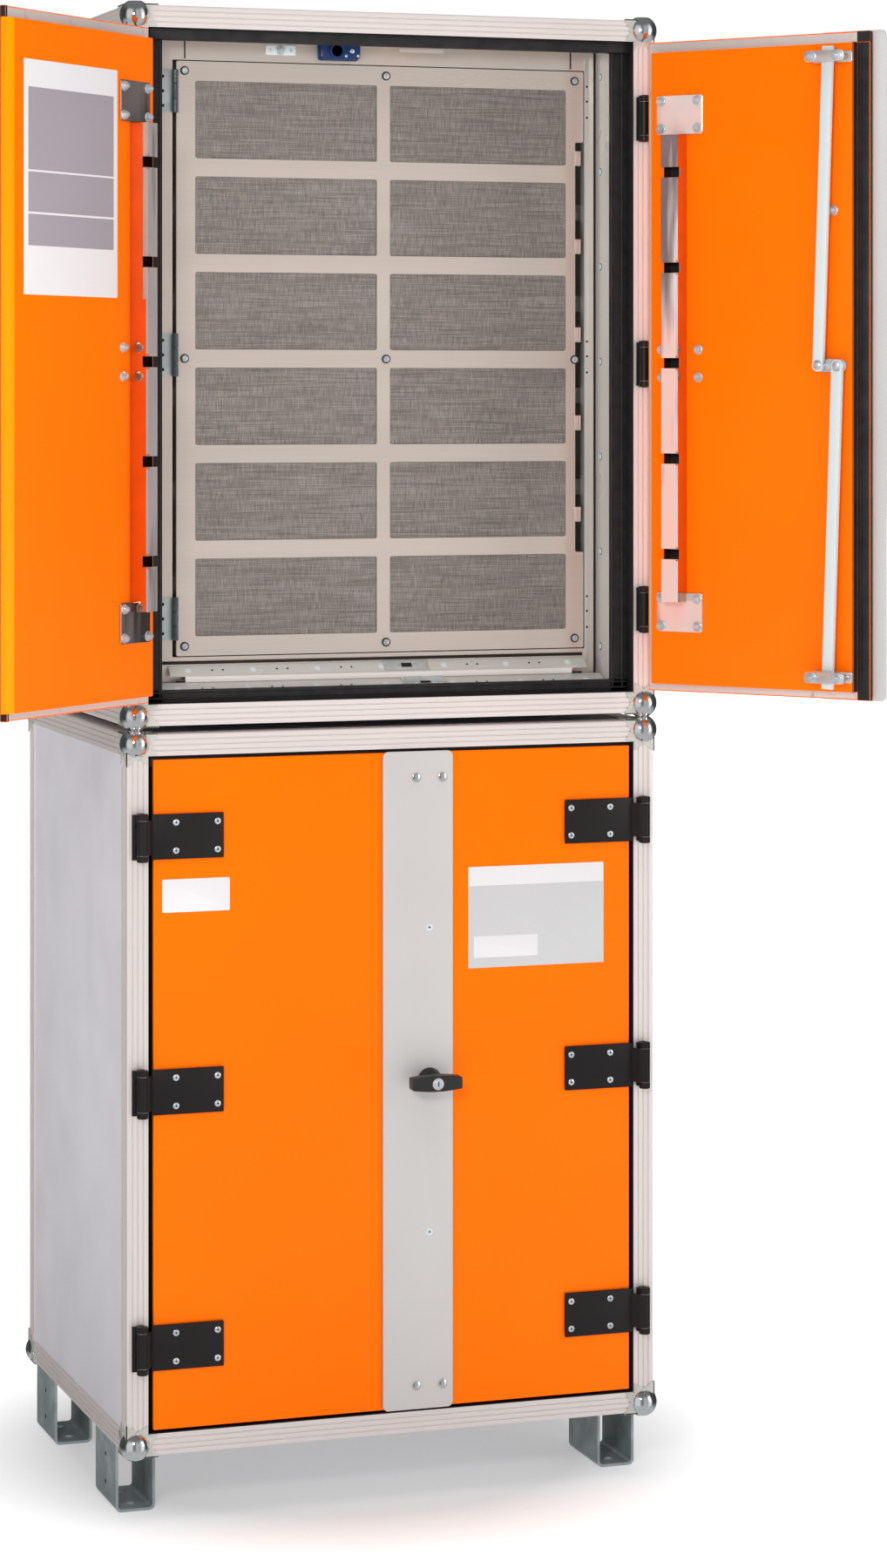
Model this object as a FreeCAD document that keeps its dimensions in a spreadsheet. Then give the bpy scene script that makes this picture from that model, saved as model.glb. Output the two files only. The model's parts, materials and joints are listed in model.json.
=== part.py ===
import FreeCAD, Part
import os
import re

# A stack of two equal battery cabinets on four feet. The upper cabinet stands open, the lower one is closed.
# Millimetres. X runs to the right, Y to the back, Z up. The origin lies on the floor, at the centre of the
# rectangle of the four outer fixing holes in the feet.

# Driving dimensions: word, then value in millimetres or degrees
SIZES = {
    # Boxes and their stacking
    "width": 800,
    "depth": 620,
    "box_height": 1022,
    # Feet
    "foot_height": 96,
    "foot_width": 58,
    "foot_length": 120,
    "foot_sheet": 4,
    "foot_bend": 9,
    "foot_flange": 22,
    "foot_inset_side": 3,
    "foot_inset_front": 74,
    "foot_inset_back": 45,
    "foot_hole_radius": 7,
    "foot_hole_inset": 30,
    # Edge rails and ball corners
    "rail_face": 32,
    "rail_wall": 2,
    "corner_sheet": 1,
    "corner_leg": 44,
    "ball_radius": 19.35,
    "ball_inset": 15,
    "ball_clear": 0.3,
    # Walls, liner and shelves
    "panel_recess": 3,
    "wall_side": 59,
    "wall_back": 50,
    "wall_high": 40,
    "wall_low": 36,
    "liner_sheet": 1.5,
    "shelf_count": 5,
    "shelf_low_gap": 169,
    "shelf_high_gap": 229,
    "shelf_sheet": 1.5,
    "shelf_lip": 22,
    "shelf_setback": 118,
    # Door seal in the frame
    "seal_side": 27,
    "seal_high": 16,
    "seal_low": 18,
    "seal_clear": 0.3,
    # Doors
    "door_gap": 4,
    "leaf_thick": 10,
    "plug_thick": 15,
    "plug_margin_hinge": 17,
    "plug_margin_high": 18,
    "plug_margin_low": 13,
    "plug_margin_free": 19.3,
    "tongue": 17.3,
    "edge_seal_thick": 3.5,
    "edge_seal_width": 18,
    "right_door_angle": 128,
    "left_door_angle": 136.5,
    # Door hinges
    "hinge_inset": 20,
    "hinge_lift": 13,
    "hinge_height": 68,
    "hinge_low_inset": 118,
    "hinge_high_inset": 110,
    "hinge_reach": 121,
    "hinge_plate_thick": 5,
    "hinge_leaf_thick": 3,
    "hinge_leaf_in": 8,
    "hinge_leaf_out": 18,
    "hinge_step_gap": 2.5,
    "plate_corner": 2,
    "barrel_radius": 8,
    "barrel_end": 9,
    "pin_radius": 4,
    "pin_clear": 0.05,
    "end_clear": 0.3,
    # Hinge bolts
    "bolt_near": 51,
    "bolt_far": 112,
    "bolt_rise": 20,
    "bolt_radius": 3,
    "bolt_clear": 0.2,
    "bolt_head_radius": 5.5,
    "bolt_head_thick": 1.2,
    "bolt_end": 8,
    "nut_radius": 5.8,
    "nut_thick": 4.5,
    # Stiffening channel on the inside of each door
    "channel_width": 28,
    "channel_depth": 28,
    "channel_sheet": 1.5,
    "channel_inset": 65,
    "channel_low_inset": 134,
    "channel_high_inset": 140,
    "slot_height": 15,
    "slot_width": 20,
    "slot_depth": 8,
    "slot_low_gap": 62,
    "slot_high_gap": 47,
    "slot_count": 5,
    "end_plate_width": 76,
    "end_plate_height": 57,
    "end_plate_sheet": 2,
    # Cover strip and lock on the right doors
    "strip_width": 106,
    "strip_overhang": 21,
    "strip_thick": 4,
    "strip_radius": 8,
    "lock_inset": 49,
    "shaft_radius": 5,
    "hub_radius": 16.5,
    "hub_depth": 18,
    "hub_neck_radius": 11.5,
    "grip_length": 80,
    "grip_taper_length": 90,
    "grip_height": 26,
    "grip_depth": 22,
    "cylinder_radius": 7.5,
    "cylinder_length": 18,
    "cylinder_proud": 2,
    "keyway_width": 1.2,
    "keyway_height": 8,
    "keyway_depth": 6,
    "cam_lift": 5,
    "cam_thick": 5,
    "cam_height": 18,
    "cam_round": 8.5,
    "pin_proud": 2,
    "cam_pin_radius": 4,
    "cam_throw": 15,
    "bar_lift": 12,
    "bar_width": 16,
    "bar_thick": 8,
    "bar_high_tip": 59,
    "bar_low_tip": 53.5,
    "guide_high_inset": 74,
    "guide_low_inset": 70,
    "guide_width": 62,
    "guide_height": 15,
    "guide_base": 3,
    "guide_bar_lift": 24,
    "guide_bar_thick": 5,
    "guide_nut_radius": 6.8,
    "stud_end": 1,
    "stud_spacing": 40,
    "stud_radius": 4,
    "stud_head_radius": 7,
    "stud_head_thick": 3.5,
    "strip_screw_rise": 220,
    "strike_lip": 14.5,
    "strike_rise": 13,
    "strike_sheet": 3,
    "strike_width": 68,
    "strike_foot": 12,
    "strike_depth": 20,
    # Inner frame and mesh door of the upper cabinet
    "mesh_setback": 80,
    "mesh_sheet": 2,
    "mesh_return": 12,
    "mesh_wire": 1,
    "mesh_margin": 28,
    "mesh_bar": 26,
    "mesh_post": 20,
    "mesh_rows": 6,
    "recess_depth": 13,
    "recess_low_inset": 142,
    "recess_high_inset": 105,
    "frame_strip_left": 29,
    "frame_strip_right": 10,
    "frame_strip_low": 52,
    "frame_strip_high": 26,
    "frame_gap_left": 6,
    "frame_gap_right": 12,
    "frame_gap_high": 6,
    "frame_sheet": 2,
    "frame_return": 18,
    "mesh_hinge_height": 62,
    "mesh_hinge_low_inset": 54,
    "mesh_hinge_high_inset": 44,
    "mesh_hinge_leaf": 22,
    "mesh_hinge_sheet": 1.5,
    "mesh_barrel_radius": 4.5,
    "mesh_pin_radius": 2,
    "mesh_axis_inset": 3,
    "mesh_axis_lift": 5,
    "mesh_barrel_end": 20,
    # Fittings on the header
    "inlet_left": 92,
    "inlet_width": 57,
    "inlet_clear": 1,
    "inlet_depth": 26,
    "inlet_corner": 4,
    "inlet_socket_radius": 9,
    "inlet_socket_depth": 18,
    "inlet_socket_inset": 20.5,
    "inlet_contact_radius": 5,
    "inlet_contact_setback": 2,
    "bracket_left": 173,
    "bracket_width": 45,
    "bracket_height": 14,
    "bracket_sheet": 2,
    "bracket_bolt_radius": 3,
    "bracket_bolt_length": 8,
}

doc = FreeCAD.newDocument("BatteryCabinet")
sheet = doc.addObject("Spreadsheet::Sheet", "Sizes")
for row, (word, value) in enumerate(SIZES.items(), start=1):
    sheet.set(f"A{row}", word)
    sheet.set(f"B{row}", str(value))
    sheet.setAlias(f"B{row}", word)
doc.recompute()

# Planes and axes that many pieces share
FRONT = "((foot_inset_back - foot_inset_front) / 2 - depth / 2)"
BACK = f"({FRONT} + depth)"
STACK_GAP = "(2 * (ball_radius - ball_inset) + ball_clear)"
CABINETS = {"lower": "foot_height", "upper": f"(foot_height + box_height + {STACK_GAP})"}
FOOT_TOP = "(foot_height + corner_sheet)"
RIGHT, LEFT = 1, -1
INNER_SIDE = "(width / 2 - wall_side)"
RAIL_INSIDE = "(width / 2 - rail_face)"
AXIS_X = "(width / 2 - hinge_inset)"
AXIS_Y = f"({FRONT} - hinge_lift)"
LEAF_BACK = f"({FRONT} + leaf_thick)"
PLUG_BACK = f"({FRONT} + leaf_thick + plug_thick)"
DOOR_LOW = "(rail_face + door_gap)"
DOOR_HIGH = "(box_height - rail_face - door_gap)"
LEAF_OUTER = f"({RAIL_INSIDE} - door_gap)"
LOCK_RISE = "(box_height / 2)"
STRIP_FRONT = f"({FRONT} - strip_thick - seal_clear)"
MESH_FRONT = f"({FRONT} + mesh_setback)"
HINGE_LOW = f"({DOOR_LOW} + hinge_low_inset)"
HINGE_HIGH = f"({DOOR_HIGH} - hinge_high_inset)"
HINGE_RISES = (HINGE_LOW, f"(({HINGE_LOW} + {HINGE_HIGH}) / 2)", HINGE_HIGH)
CEILING = "(box_height - wall_high)"
FRAME_LEFT = f"({INNER_SIDE} - frame_strip_left)"
FRAME_RIGHT = f"({INNER_SIDE} - frame_strip_right)"
FRAME_SILL = "(wall_low + frame_strip_low)"
FRAME_HEADER = f"({CEILING} - frame_strip_high)"
MESH_LEFT = f"({FRAME_LEFT} - frame_gap_left)"
MESH_RIGHT = f"({FRAME_RIGHT} - frame_gap_right)"
MESH_LOW = f"({FRAME_SILL} + frame_gap_high)"
MESH_HIGH = f"({FRAME_HEADER} - frame_gap_high)"
DOOR_OPEN = {("upper", RIGHT): "right_door_angle", ("upper", LEFT): "left_door_angle"}

NODES = {}


# Shapes made of words of the sheet

def words(text):
    """Point each word of the sheet in an expression at its cell."""
    return re.sub(r"[a-z][a-z_]*", lambda word: "Sizes." + word[0] if word[0] in SIZES else word[0], text)


def bind(part, **texts):
    for prop, text in texts.items():
        part.setExpression(prop.replace("__", "."), words(text))
    return part


def to(start, end):
    """A span from one plane to another, as its start and its size."""
    return (start, f"({end}) - ({start})")


def about(middle, size):
    return (f"({middle}) - ({size}) / 2", size)


def on_side(side, start, end):
    """A span along X, given for the right side and mirrored for the left one."""
    return to(start, end) if side == RIGHT else to(f"-({end})", f"-({start})")


def box(name, x, y, z):
    part = doc.addObject("Part::Box", name)
    bind(part, Placement__Base__x=x[0], Placement__Base__y=y[0], Placement__Base__z=z[0])
    return bind(part, Length=x[1], Width=y[1], Height=z[1])


TURNS = {"x": ((0, 1, 0), 90), "y": ((1, 0, 0), -90), "z": ((0, 0, 1), 0)}


def cylinder(name, axis, x, y, z, radius, length):
    """A cylinder that starts at a point and runs along an axis."""
    part = doc.addObject("Part::Cylinder", name)
    direction, angle = TURNS[axis]
    part.Placement.Rotation = FreeCAD.Rotation(FreeCAD.Vector(*direction), angle)
    bind(part, Placement__Base__x=x, Placement__Base__y=y, Placement__Base__z=z)
    return bind(part, Radius=radius, Height=length)


def hexagon(name, x, y, z, radius, length):
    """A hexagonal prism that runs along Y, such as a nut."""
    part = doc.addObject("Part::Prism", name)
    part.Polygon = 6
    part.Placement.Rotation = FreeCAD.Rotation(FreeCAD.Vector(1, 0, 0), -90)
    bind(part, Placement__Base__x=x, Placement__Base__y=y, Placement__Base__z=z)
    return bind(part, Circumradius=radius, Height=length)


def sphere(name, x, y, z, radius):
    part = doc.addObject("Part::Sphere", name)
    return bind(part, Placement__Base__x=x, Placement__Base__y=y, Placement__Base__z=z, Radius=radius)


def fuse(name, *parts):
    whole = doc.addObject("Part::MultiFuse", name)
    whole.Shapes = list(parts)
    whole.Refine = True
    return whole


def group(name, *parts):
    whole = doc.addObject("Part::Compound", name)
    whole.Links = list(parts)
    return whole


def cut(name, base, *tools):
    whole = doc.addObject("Part::Cut", name)
    whole.Base = base
    whole.Tool = tools[0] if len(tools) == 1 else group(name + "_tools", *tools)
    return whole


def rounded(name, x, y, z, axis, radius):
    """A block in a body of its own, with its four edges along one axis rounded."""
    body = doc.addObject("PartDesign::Body", name)
    block = body.newObject("PartDesign::AdditiveBox", name + "_block")
    bind(block, Length=x[1], Width=y[1], Height=z[1])
    bind(body, Placement__Base__x=x[0], Placement__Base__y=y[0], Placement__Base__z=z[0])
    doc.recompute([body, block])
    direction = FreeCAD.Vector(*(float(axis == letter) for letter in "xyz"))
    edges = [
        f"Edge{number}"
        for number, edge in enumerate(block.Shape.Edges, start=1)
        if abs(abs(edge.tangentAt(edge.FirstParameter).dot(direction)) - 1) < 1e-6
    ]
    fillet = body.newObject("PartDesign::Fillet", name + "_fillet")
    fillet.Base = (block, edges)
    bind(fillet, Radius=radius)
    body.Tip = fillet
    return body


def node(label, *parts):
    """A sub-part: one piece, or a group of equal pieces, under its own label."""
    whole = group(label, *parts)
    whole.Label = label
    NODES[label] = whole
    return whole


def swing(piece, cabinet, side):
    """Turn a door piece, drawn closed, about its hinge axis to where the door stands."""
    if (cabinet, side) not in DOOR_OPEN:
        return piece
    angle = f"({DOOR_OPEN[cabinet, side]} * 1deg)"
    axis_x = AXIS_X if side == RIGHT else f"(-{AXIS_X})"
    sine = f"sin({angle})" if side == RIGHT else f"(-sin({angle}))"
    piece.Placement.Rotation = FreeCAD.Rotation(FreeCAD.Vector(0, 0, side), 10)
    return bind(
        piece,
        Placement__Rotation__Angle=angle,
        Placement__Base__x=f"{axis_x} * (1 - cos({angle})) + {AXIS_Y} * {sine}",
        Placement__Base__y=f"{AXIS_Y} * (1 - cos({angle})) - {axis_x} * {sine}",
    )


# Feet

def foot(name, side, front_edge):
    """A U of bent sheet, open to the front, with two holes in its base and flanges under the cabinet."""
    outer = on_side(side, "(width / 2 - foot_inset_side - foot_width)", "(width / 2 - foot_inset_side)")
    inner = (f"{outer[0]} + foot_sheet", "foot_width - 2 * foot_sheet")
    along = (front_edge, "foot_length")
    shell = rounded(name + "_shell", outer, along, ("0", f"{FOOT_TOP} + foot_bend"), "y", "foot_bend")
    hollow = rounded(
        name + "_hollow",
        inner,
        (f"{front_edge} - 1", "foot_length + 2"),
        ("foot_sheet", f"{FOOT_TOP} + foot_bend"),
        "y",
        "foot_bend - foot_sheet",
    )
    above = (FOOT_TOP, "foot_bend + 1")
    wider = (f"{outer[0]} - 1", "foot_width + 2")
    top = box(name + "_top", wider, (f"{front_edge} - 1", "foot_length + 2"), above)
    bent = cut(name + "_bent", shell, hollow, top)
    flange_z = (f"{FOOT_TOP} - foot_sheet", "foot_sheet")
    inward = f"{outer[0]} + foot_width - foot_flange"
    left_flange = box(name + "_flange_a", (outer[0], "foot_flange"), along, flange_z)
    right_flange = box(name + "_flange_b", (inward, "foot_flange"), along, flange_z)
    middle = f"{outer[0]} + foot_width / 2"
    holes = [
        cylinder(f"{name}_hole_{index}", "z", middle, place, "-1", "foot_hole_radius", "foot_sheet + 2")
        for index, place in enumerate((f"{front_edge} + foot_hole_inset",
                                       f"{front_edge} + foot_length - foot_hole_inset"))
    ]
    return cut(name, fuse(name + "_whole", bent, left_flange, right_flange), *holes)


def make_feet():
    fronts = {"front": f"({FRONT} + foot_inset_front)", "rear": f"({BACK} - foot_inset_back - foot_length)"}
    node("feet", *(
        foot(f"foot_{place}_{word}", side, edge)
        for place, edge in fronts.items()
        for side, word in ((LEFT, "left"), (RIGHT, "right"))
    ))


# Edge rails, corners and walls of one cabinet

def tube(name, x, y, z, axis):
    """A square tube along one axis."""
    bore = [
        (f"{start} - 1", f"{size} + 2")
        if letter == axis
        else (f"{start} + rail_wall", f"{size} - 2 * rail_wall")
        for letter, (start, size) in zip("xyz", (x, y, z))
    ]
    return cut(name, box(name + "_outer", x, y, z), box(name + "_bore", *bore))


def edges_of(low, high):
    """The two strips, one rail wide, along the two ends of a dimension."""
    near = to(f"{low} + corner_sheet", f"{low} + rail_face")
    far = to(f"{high} - rail_face", f"{high} - corner_sheet")
    return near, far


def make_rails(cabinet, base):
    sides = edges_of("(-width / 2)", "(width / 2)")
    fronts = edges_of(FRONT, BACK)
    floors = edges_of(base, f"({base} + box_height)")
    along_x = (f"-{RAIL_INSIDE}", f"2 * {RAIL_INSIDE}")
    along_y = to(f"{FRONT} + rail_face", f"{BACK} - rail_face")
    along_z = (f"{base} + rail_face", "box_height - 2 * rail_face")
    rails = []
    for first in range(2):
        for second in range(2):
            tag = f"{cabinet}_rail_{first}{second}"
            rails.append(tube(tag + "_x", along_x, fronts[first], floors[second], "x"))
            rails.append(tube(tag + "_y", sides[first], along_y, floors[second], "y"))
            rails.append(tube(tag + "_z", sides[first], fronts[second], along_z, "z"))
    node(f"{cabinet}_edge_rails", *rails)


def corner(name, planes, signs):
    """A bent steel corner with three legs over the rails, and the ball on it."""
    def inward(axis, near, far):
        plane = planes[axis]
        if signs[axis] > 0:
            return to(f"{plane} + {near}", f"{plane} + {far}")
        return to(f"{plane} - {far}", f"{plane} - {near}")

    legs, bores = [], []
    for leg in range(3):
        reach = ["corner_leg" if axis == leg else "rail_face" for axis in range(3)]
        past = ["(corner_leg + 1)" if axis == leg else "(rail_face + 1)" for axis in range(3)]
        legs.append(box(f"{name}_leg_{leg}", *(inward(axis, "0", reach[axis]) for axis in range(3))))
        room = (inward(axis, "corner_sheet", past[axis]) for axis in range(3))
        bores.append(box(f"{name}_bore_{leg}", *room))
    shell = cut(name + "_shell", fuse(name + "_legs", *legs), fuse(name + "_bores", *bores))
    centre = [f"{plane} {'+' if sign > 0 else '-'} ball_inset" for plane, sign in zip(planes, signs)]
    return fuse(name, shell, sphere(name + "_ball", *centre, "ball_radius"))


def make_corners():
    corners = []
    for cabinet, base in CABINETS.items():
        for x_sign, x_plane in ((1, "(-width / 2)"), (-1, "(width / 2)")):
            for y_sign, y_plane in ((1, FRONT), (-1, BACK)):
                for z_sign, z_plane in ((1, base), (-1, f"({base} + box_height)")):
                    name = f"{cabinet}_corner_{len(corners)}"
                    corners.append(corner(name, (x_plane, y_plane, z_plane), (x_sign, y_sign, z_sign)))
    node("ball_corners", *corners)


def make_walls(cabinet, base):
    liner_side = f"({INNER_SIDE} + liner_sheet)"
    liner_back = f"({BACK} - wall_back + liner_sheet)"
    rail_back = f"({BACK} - rail_face)"
    rail_front = f"({FRONT} + rail_face)"
    top = f"({base} + box_height)"
    liner_low = f"({base} + wall_low - liner_sheet)"
    liner_high = f"({top} - wall_high + liner_sheet)"
    upright = to(f"{base} + rail_face", f"{top} - rail_face")
    node(f"{cabinet}_side_panels", *(
        box(f"{cabinet}_side_{word}", on_side(side, liner_side, "(width / 2 - panel_recess)"),
            to(rail_front, rail_back), upright)
        for side, word in ((LEFT, "left"), (RIGHT, "right"))
    ))
    between_rails = (f"-{RAIL_INSIDE}", f"2 * {RAIL_INSIDE}")
    between_sides = (f"-{liner_side}", f"2 * {liner_side}")
    skin_y = to(rail_back, f"{BACK} - panel_recess")
    core_z = to(liner_low, liner_high)
    back_board = box(f"{cabinet}_back_board", between_rails, skin_y, upright)
    back_core = box(f"{cabinet}_back_core", between_sides, to(liner_back, rail_back), core_z)
    node(f"{cabinet}_back_panel", fuse(f"{cabinet}_back", back_board, back_core))
    flat = to(rail_front, rail_back)
    roof_z = to(f"{top} - rail_face", f"{top} - panel_recess")
    floor_z = to(f"{base} + panel_recess", f"{base} + rail_face")
    roof_board = box(f"{cabinet}_roof_board", between_rails, flat, roof_z)
    roof_core = box(f"{cabinet}_roof_core", between_sides, flat, to(liner_high, f"{top} - rail_face"))
    floor_board = box(f"{cabinet}_floor_board", between_rails, flat, floor_z)
    floor_core = box(f"{cabinet}_floor_core", between_sides, flat, to(f"{base} + rail_face", liner_low))
    node(f"{cabinet}_roof_and_floor", fuse(f"{cabinet}_roof", roof_board, roof_core),
         fuse(f"{cabinet}_floor", floor_board, floor_core))
    skin = box(f"{cabinet}_liner_skin", between_sides, to(rail_front, liner_back), to(liner_low, liner_high))
    room = box(
        f"{cabinet}_liner_room",
        (f"-{INNER_SIDE}", f"2 * {INNER_SIDE}"),
        to(f"{rail_front} - 1", f"{BACK} - wall_back"),
        to(f"{base} + wall_low", f"{top} - wall_high"),
    )
    node(f"{cabinet}_liner", cut(f"{cabinet}_liner_open", skin, room))


def make_seal(cabinet, base):
    """The rubber seal round the opening: sides and sill behind the inner panels, head behind the leaves."""
    deep = to(f"{PLUG_BACK} + seal_clear", f"{FRONT} + rail_face")
    head_y = to(f"{LEAF_BACK} + seal_clear", f"{FRONT} + rail_face")
    full = (f"{base} + rail_face", "box_height - 2 * rail_face")
    parts = [
        box(f"{cabinet}_seal_{word}", on_side(side, f"{RAIL_INSIDE} - seal_side", RAIL_INSIDE), deep, full)
        for side, word in ((LEFT, "left"), (RIGHT, "right"))
    ]
    across = (f"-{RAIL_INSIDE}", f"2 * {RAIL_INSIDE}")
    parts.append(box(f"{cabinet}_seal_sill", across, deep, (f"{base} + rail_face", "seal_low")))
    parts.append(box(f"{cabinet}_seal_head", across, head_y,
                     (f"{base} + box_height - rail_face - seal_high", "seal_high")))
    node(f"{cabinet}_door_seal", fuse(f"{cabinet}_seal", *parts))


def make_shelves(cabinet, base):
    across = (f"-{INNER_SIDE}", f"2 * {INNER_SIDE}")
    front = f"({FRONT} + shelf_setback)"
    shelves = []
    pitch = f"(({CEILING} - wall_low - shelf_low_gap - shelf_high_gap) / (shelf_count - 1))"
    for index in range(SIZES["shelf_count"]):
        rise = f"({base} + wall_low + shelf_low_gap + {index} * {pitch})"
        tray_y = to(front, f"{BACK} - wall_back")
        tray = box(f"{cabinet}_tray_{index}", across, tray_y, (rise, "shelf_sheet"))
        lip = box(f"{cabinet}_lip_{index}", across, (front, "shelf_sheet"), to(f"{rise} - shelf_lip", rise))
        shelves.append(fuse(f"{cabinet}_shelf_{index}", tray, lip))
    node(f"{cabinet}_shelves", *shelves)


def make_strikes():
    """The steel stops, one over and one under, that the lock rods rise and drop behind."""
    strikes = []
    across = about("lock_inset", "strike_width")
    plate_y = (f"{FRONT} + rail_face + seal_clear", "strike_sheet")
    foot_y = (plate_y[0], "strike_depth")
    for cabinet, base in CABINETS.items():
        ceiling = f"({base} + box_height - wall_high)"
        floor = f"({base} + wall_low)"
        levels = {
            "over": (to(f"{ceiling} - strike_lip", ceiling), (f"{ceiling} - strike_sheet", "strike_sheet")),
            "under": ((floor, "strike_rise"), (floor, "strike_sheet")),
        }
        for word, (plate_z, foot_z) in levels.items():
            name = f"{cabinet}_strike_{word}"
            pieces = [box(name + "_lip", across, plate_y, plate_z)]
            for end, start in enumerate((across[0], f"{across[0]} + strike_width - strike_foot")):
                pieces.append(box(f"{name}_foot_{end}", (start, "strike_foot"), foot_y, foot_z))
            strikes.append(fuse(name, *pieces))
    node("strike_plates", *strikes)


# Door hinges

def frame_leaf(name, side, rise):
    """The leaf on the rail with the two end barrels, and the pin through them."""
    axis_x = AXIS_X if side == RIGHT else f"-{AXIS_X}"
    low = f"({rise} - hinge_height / 2)"
    high = f"({rise} + hinge_height / 2)"
    plate = box(
        name + "_plate",
        on_side(side, f"{AXIS_X} - hinge_leaf_in", f"{AXIS_X} + hinge_leaf_out"),
        (f"{FRONT} - hinge_leaf_thick + corner_sheet", "hinge_leaf_thick"),
        (low, "hinge_height"),
    )
    solids = [plate]
    for word, start in (("low", low), ("high", f"{high} - barrel_end")):
        tag = f"{name}_{word}"
        solids += [
            cylinder(tag + "_barrel", "z", axis_x, AXIS_Y, start, "barrel_radius", "barrel_end"),
            box(tag + "_bridge", about(axis_x, "barrel_radius"), to(AXIS_Y, FRONT), (start, "barrel_end")),
        ]
    bore = cylinder(name + "_bore", "z", axis_x, AXIS_Y, f"{low} - 1", "pin_radius", "hinge_height + 2")
    pin = cylinder(name + "_pin", "z", axis_x, AXIS_Y, low, "pin_radius", "hinge_height")
    return [cut(name, fuse(name + "_whole", *solids), bore), pin]


def make_frame_leaves():
    pieces = []
    for cabinet, base in CABINETS.items():
        for side, word in ((LEFT, "left"), (RIGHT, "right")):
            for index, rise in enumerate(HINGE_RISES):
                pieces += frame_leaf(f"{cabinet}_{word}_frame_leaf_{index}", side, f"({base} + {rise})")
    node("frame_hinge_leaves", *pieces)


def door_leaf_hinge(name, side, rise):
    """The long hinge leaf on the door, stepped out to the middle barrel."""
    low = f"({rise} - hinge_height / 2)"
    axis_x = AXIS_X if side == RIGHT else f"-{AXIS_X}"
    plate_end = f"({AXIS_X} - barrel_radius - hinge_step_gap)"
    barrel_low = f"({low} + barrel_end + end_clear)"
    barrel_size = "hinge_height - 2 * barrel_end - 2 * end_clear"
    plate = rounded(
        name + "_plate",
        on_side(side, f"{AXIS_X} - hinge_reach", plate_end),
        (f"{FRONT} - hinge_plate_thick", "hinge_plate_thick"),
        (low, "hinge_height"),
        "y",
        "plate_corner",
    )
    step = box(name + "_step", on_side(side, f"{plate_end} - hinge_plate_thick", plate_end),
               to(f"{AXIS_Y} - hinge_plate_thick / 2", f"{FRONT} - hinge_plate_thick / 2"),
               (barrel_low, barrel_size))
    neck = box(name + "_neck", on_side(side, f"{plate_end} - hinge_plate_thick", AXIS_X),
               about(AXIS_Y, "hinge_plate_thick"), (barrel_low, barrel_size))
    barrel = cylinder(name + "_barrel", "z", axis_x, AXIS_Y, barrel_low, "barrel_radius", barrel_size)
    bore_radius = "pin_radius + pin_clear"
    bore = cylinder(name + "_bore", "z", axis_x, AXIS_Y, f"{low} - 1", bore_radius, "hinge_height + 2")
    return cut(name, fuse(name + "_whole", plate, step, neck, barrel), bore)


# Doors

def bolt_places(side, base):
    """Where the hinge bolts go through a door, as X and Z."""
    sign = "" if side == RIGHT else "-"
    return [
        (f"({sign}({AXIS_X} - {reach}))", f"({base} + {rise} {step} bolt_rise)")
        for rise in HINGE_RISES
        for reach in ("bolt_near", "bolt_far")
        for step in "-+"
    ]


def lock_places(base):
    """Where the guide studs go through a right door, as X and Z."""
    return [
        (f"(lock_inset {step} stud_spacing / 2)", rise)
        for rise in (f"({base} + box_height - guide_high_inset)", f"({base} + guide_low_inset)")
        for step in "-+"
    ]


def screw_places(base):
    return [("lock_inset", f"({base} + {LOCK_RISE} {step} strip_screw_rise)") for step in "-+"]


def door_holes(name, side, base):
    """The holes through a door for its bolts, studs and handle shaft."""
    start = f"{FRONT} - hinge_plate_thick - 2"
    length = "hinge_plate_thick + leaf_thick + plug_thick + end_plate_sheet + guide_base + 4"
    places = bolt_places(side, base) + (screw_places(base) if side == RIGHT else [])
    holes = [
        cylinder(f"{name}_bolt_hole_{index}", "y", x, start, z, "bolt_radius + bolt_clear", length)
        for index, (x, z) in enumerate(places)
    ]
    if side == RIGHT:
        holes += [
            cylinder(f"{name}_stud_hole_{index}", "y", x, start, z, "stud_radius + bolt_clear", length)
            for index, (x, z) in enumerate(lock_places(base))
        ]
        holes.append(cylinder(name + "_shaft_hole", "y", "lock_inset", start, f"{base} + {LOCK_RISE}",
                              "shaft_radius + pin_clear", length))
    return group(name + "_holes", *holes)


def make_leaf_and_plug(cabinet, base, side, name, holes):
    height = to(f"{base} + {DOOR_LOW}", f"{base} + {DOOR_HIGH}")
    free_edge = "0" if side == RIGHT else "door_gap"
    leaf = box(name + "_slab", on_side(side, free_edge, LEAF_OUTER), (FRONT, "leaf_thick"), height)
    swing(node(name + "_leaf", cut(name + "_leaf_bored", leaf, holes)), cabinet, side)
    plug_z = to(f"{base} + {DOOR_LOW} + plug_margin_low", f"{base} + {DOOR_HIGH} - plug_margin_high")
    plug_edge = "plug_margin_free" if side == RIGHT else free_edge
    plug_x = on_side(side, plug_edge, f"{LEAF_OUTER} - plug_margin_hinge")
    plug = box(name + "_inner", plug_x, (LEAF_BACK, "plug_thick"), plug_z)
    if side == LEFT:
        tongue_y = to(f"{LEAF_BACK} + edge_seal_thick + seal_clear", PLUG_BACK)
        tongue = box(name + "_tongue", to(f"-{free_edge} - 1", f"tongue - {free_edge}"), tongue_y, plug_z)
        plug = fuse(name + "_inner_whole", plug, tongue)
    swing(node(name + "_inner_panel", cut(name + "_inner_bored", plug, holes)), cabinet, side)


def make_hinge_plates(cabinet, base, side, name, holes):
    plates = []
    for index, rise in enumerate(HINGE_RISES):
        plate = door_leaf_hinge(f"{name}_hinge_{index}", side, f"({base} + {rise})")
        plates.append(cut(f"{name}_hinge_bored_{index}", plate, holes))
    swing(node(name + "_hinge_plates", *plates), cabinet, side)


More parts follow.
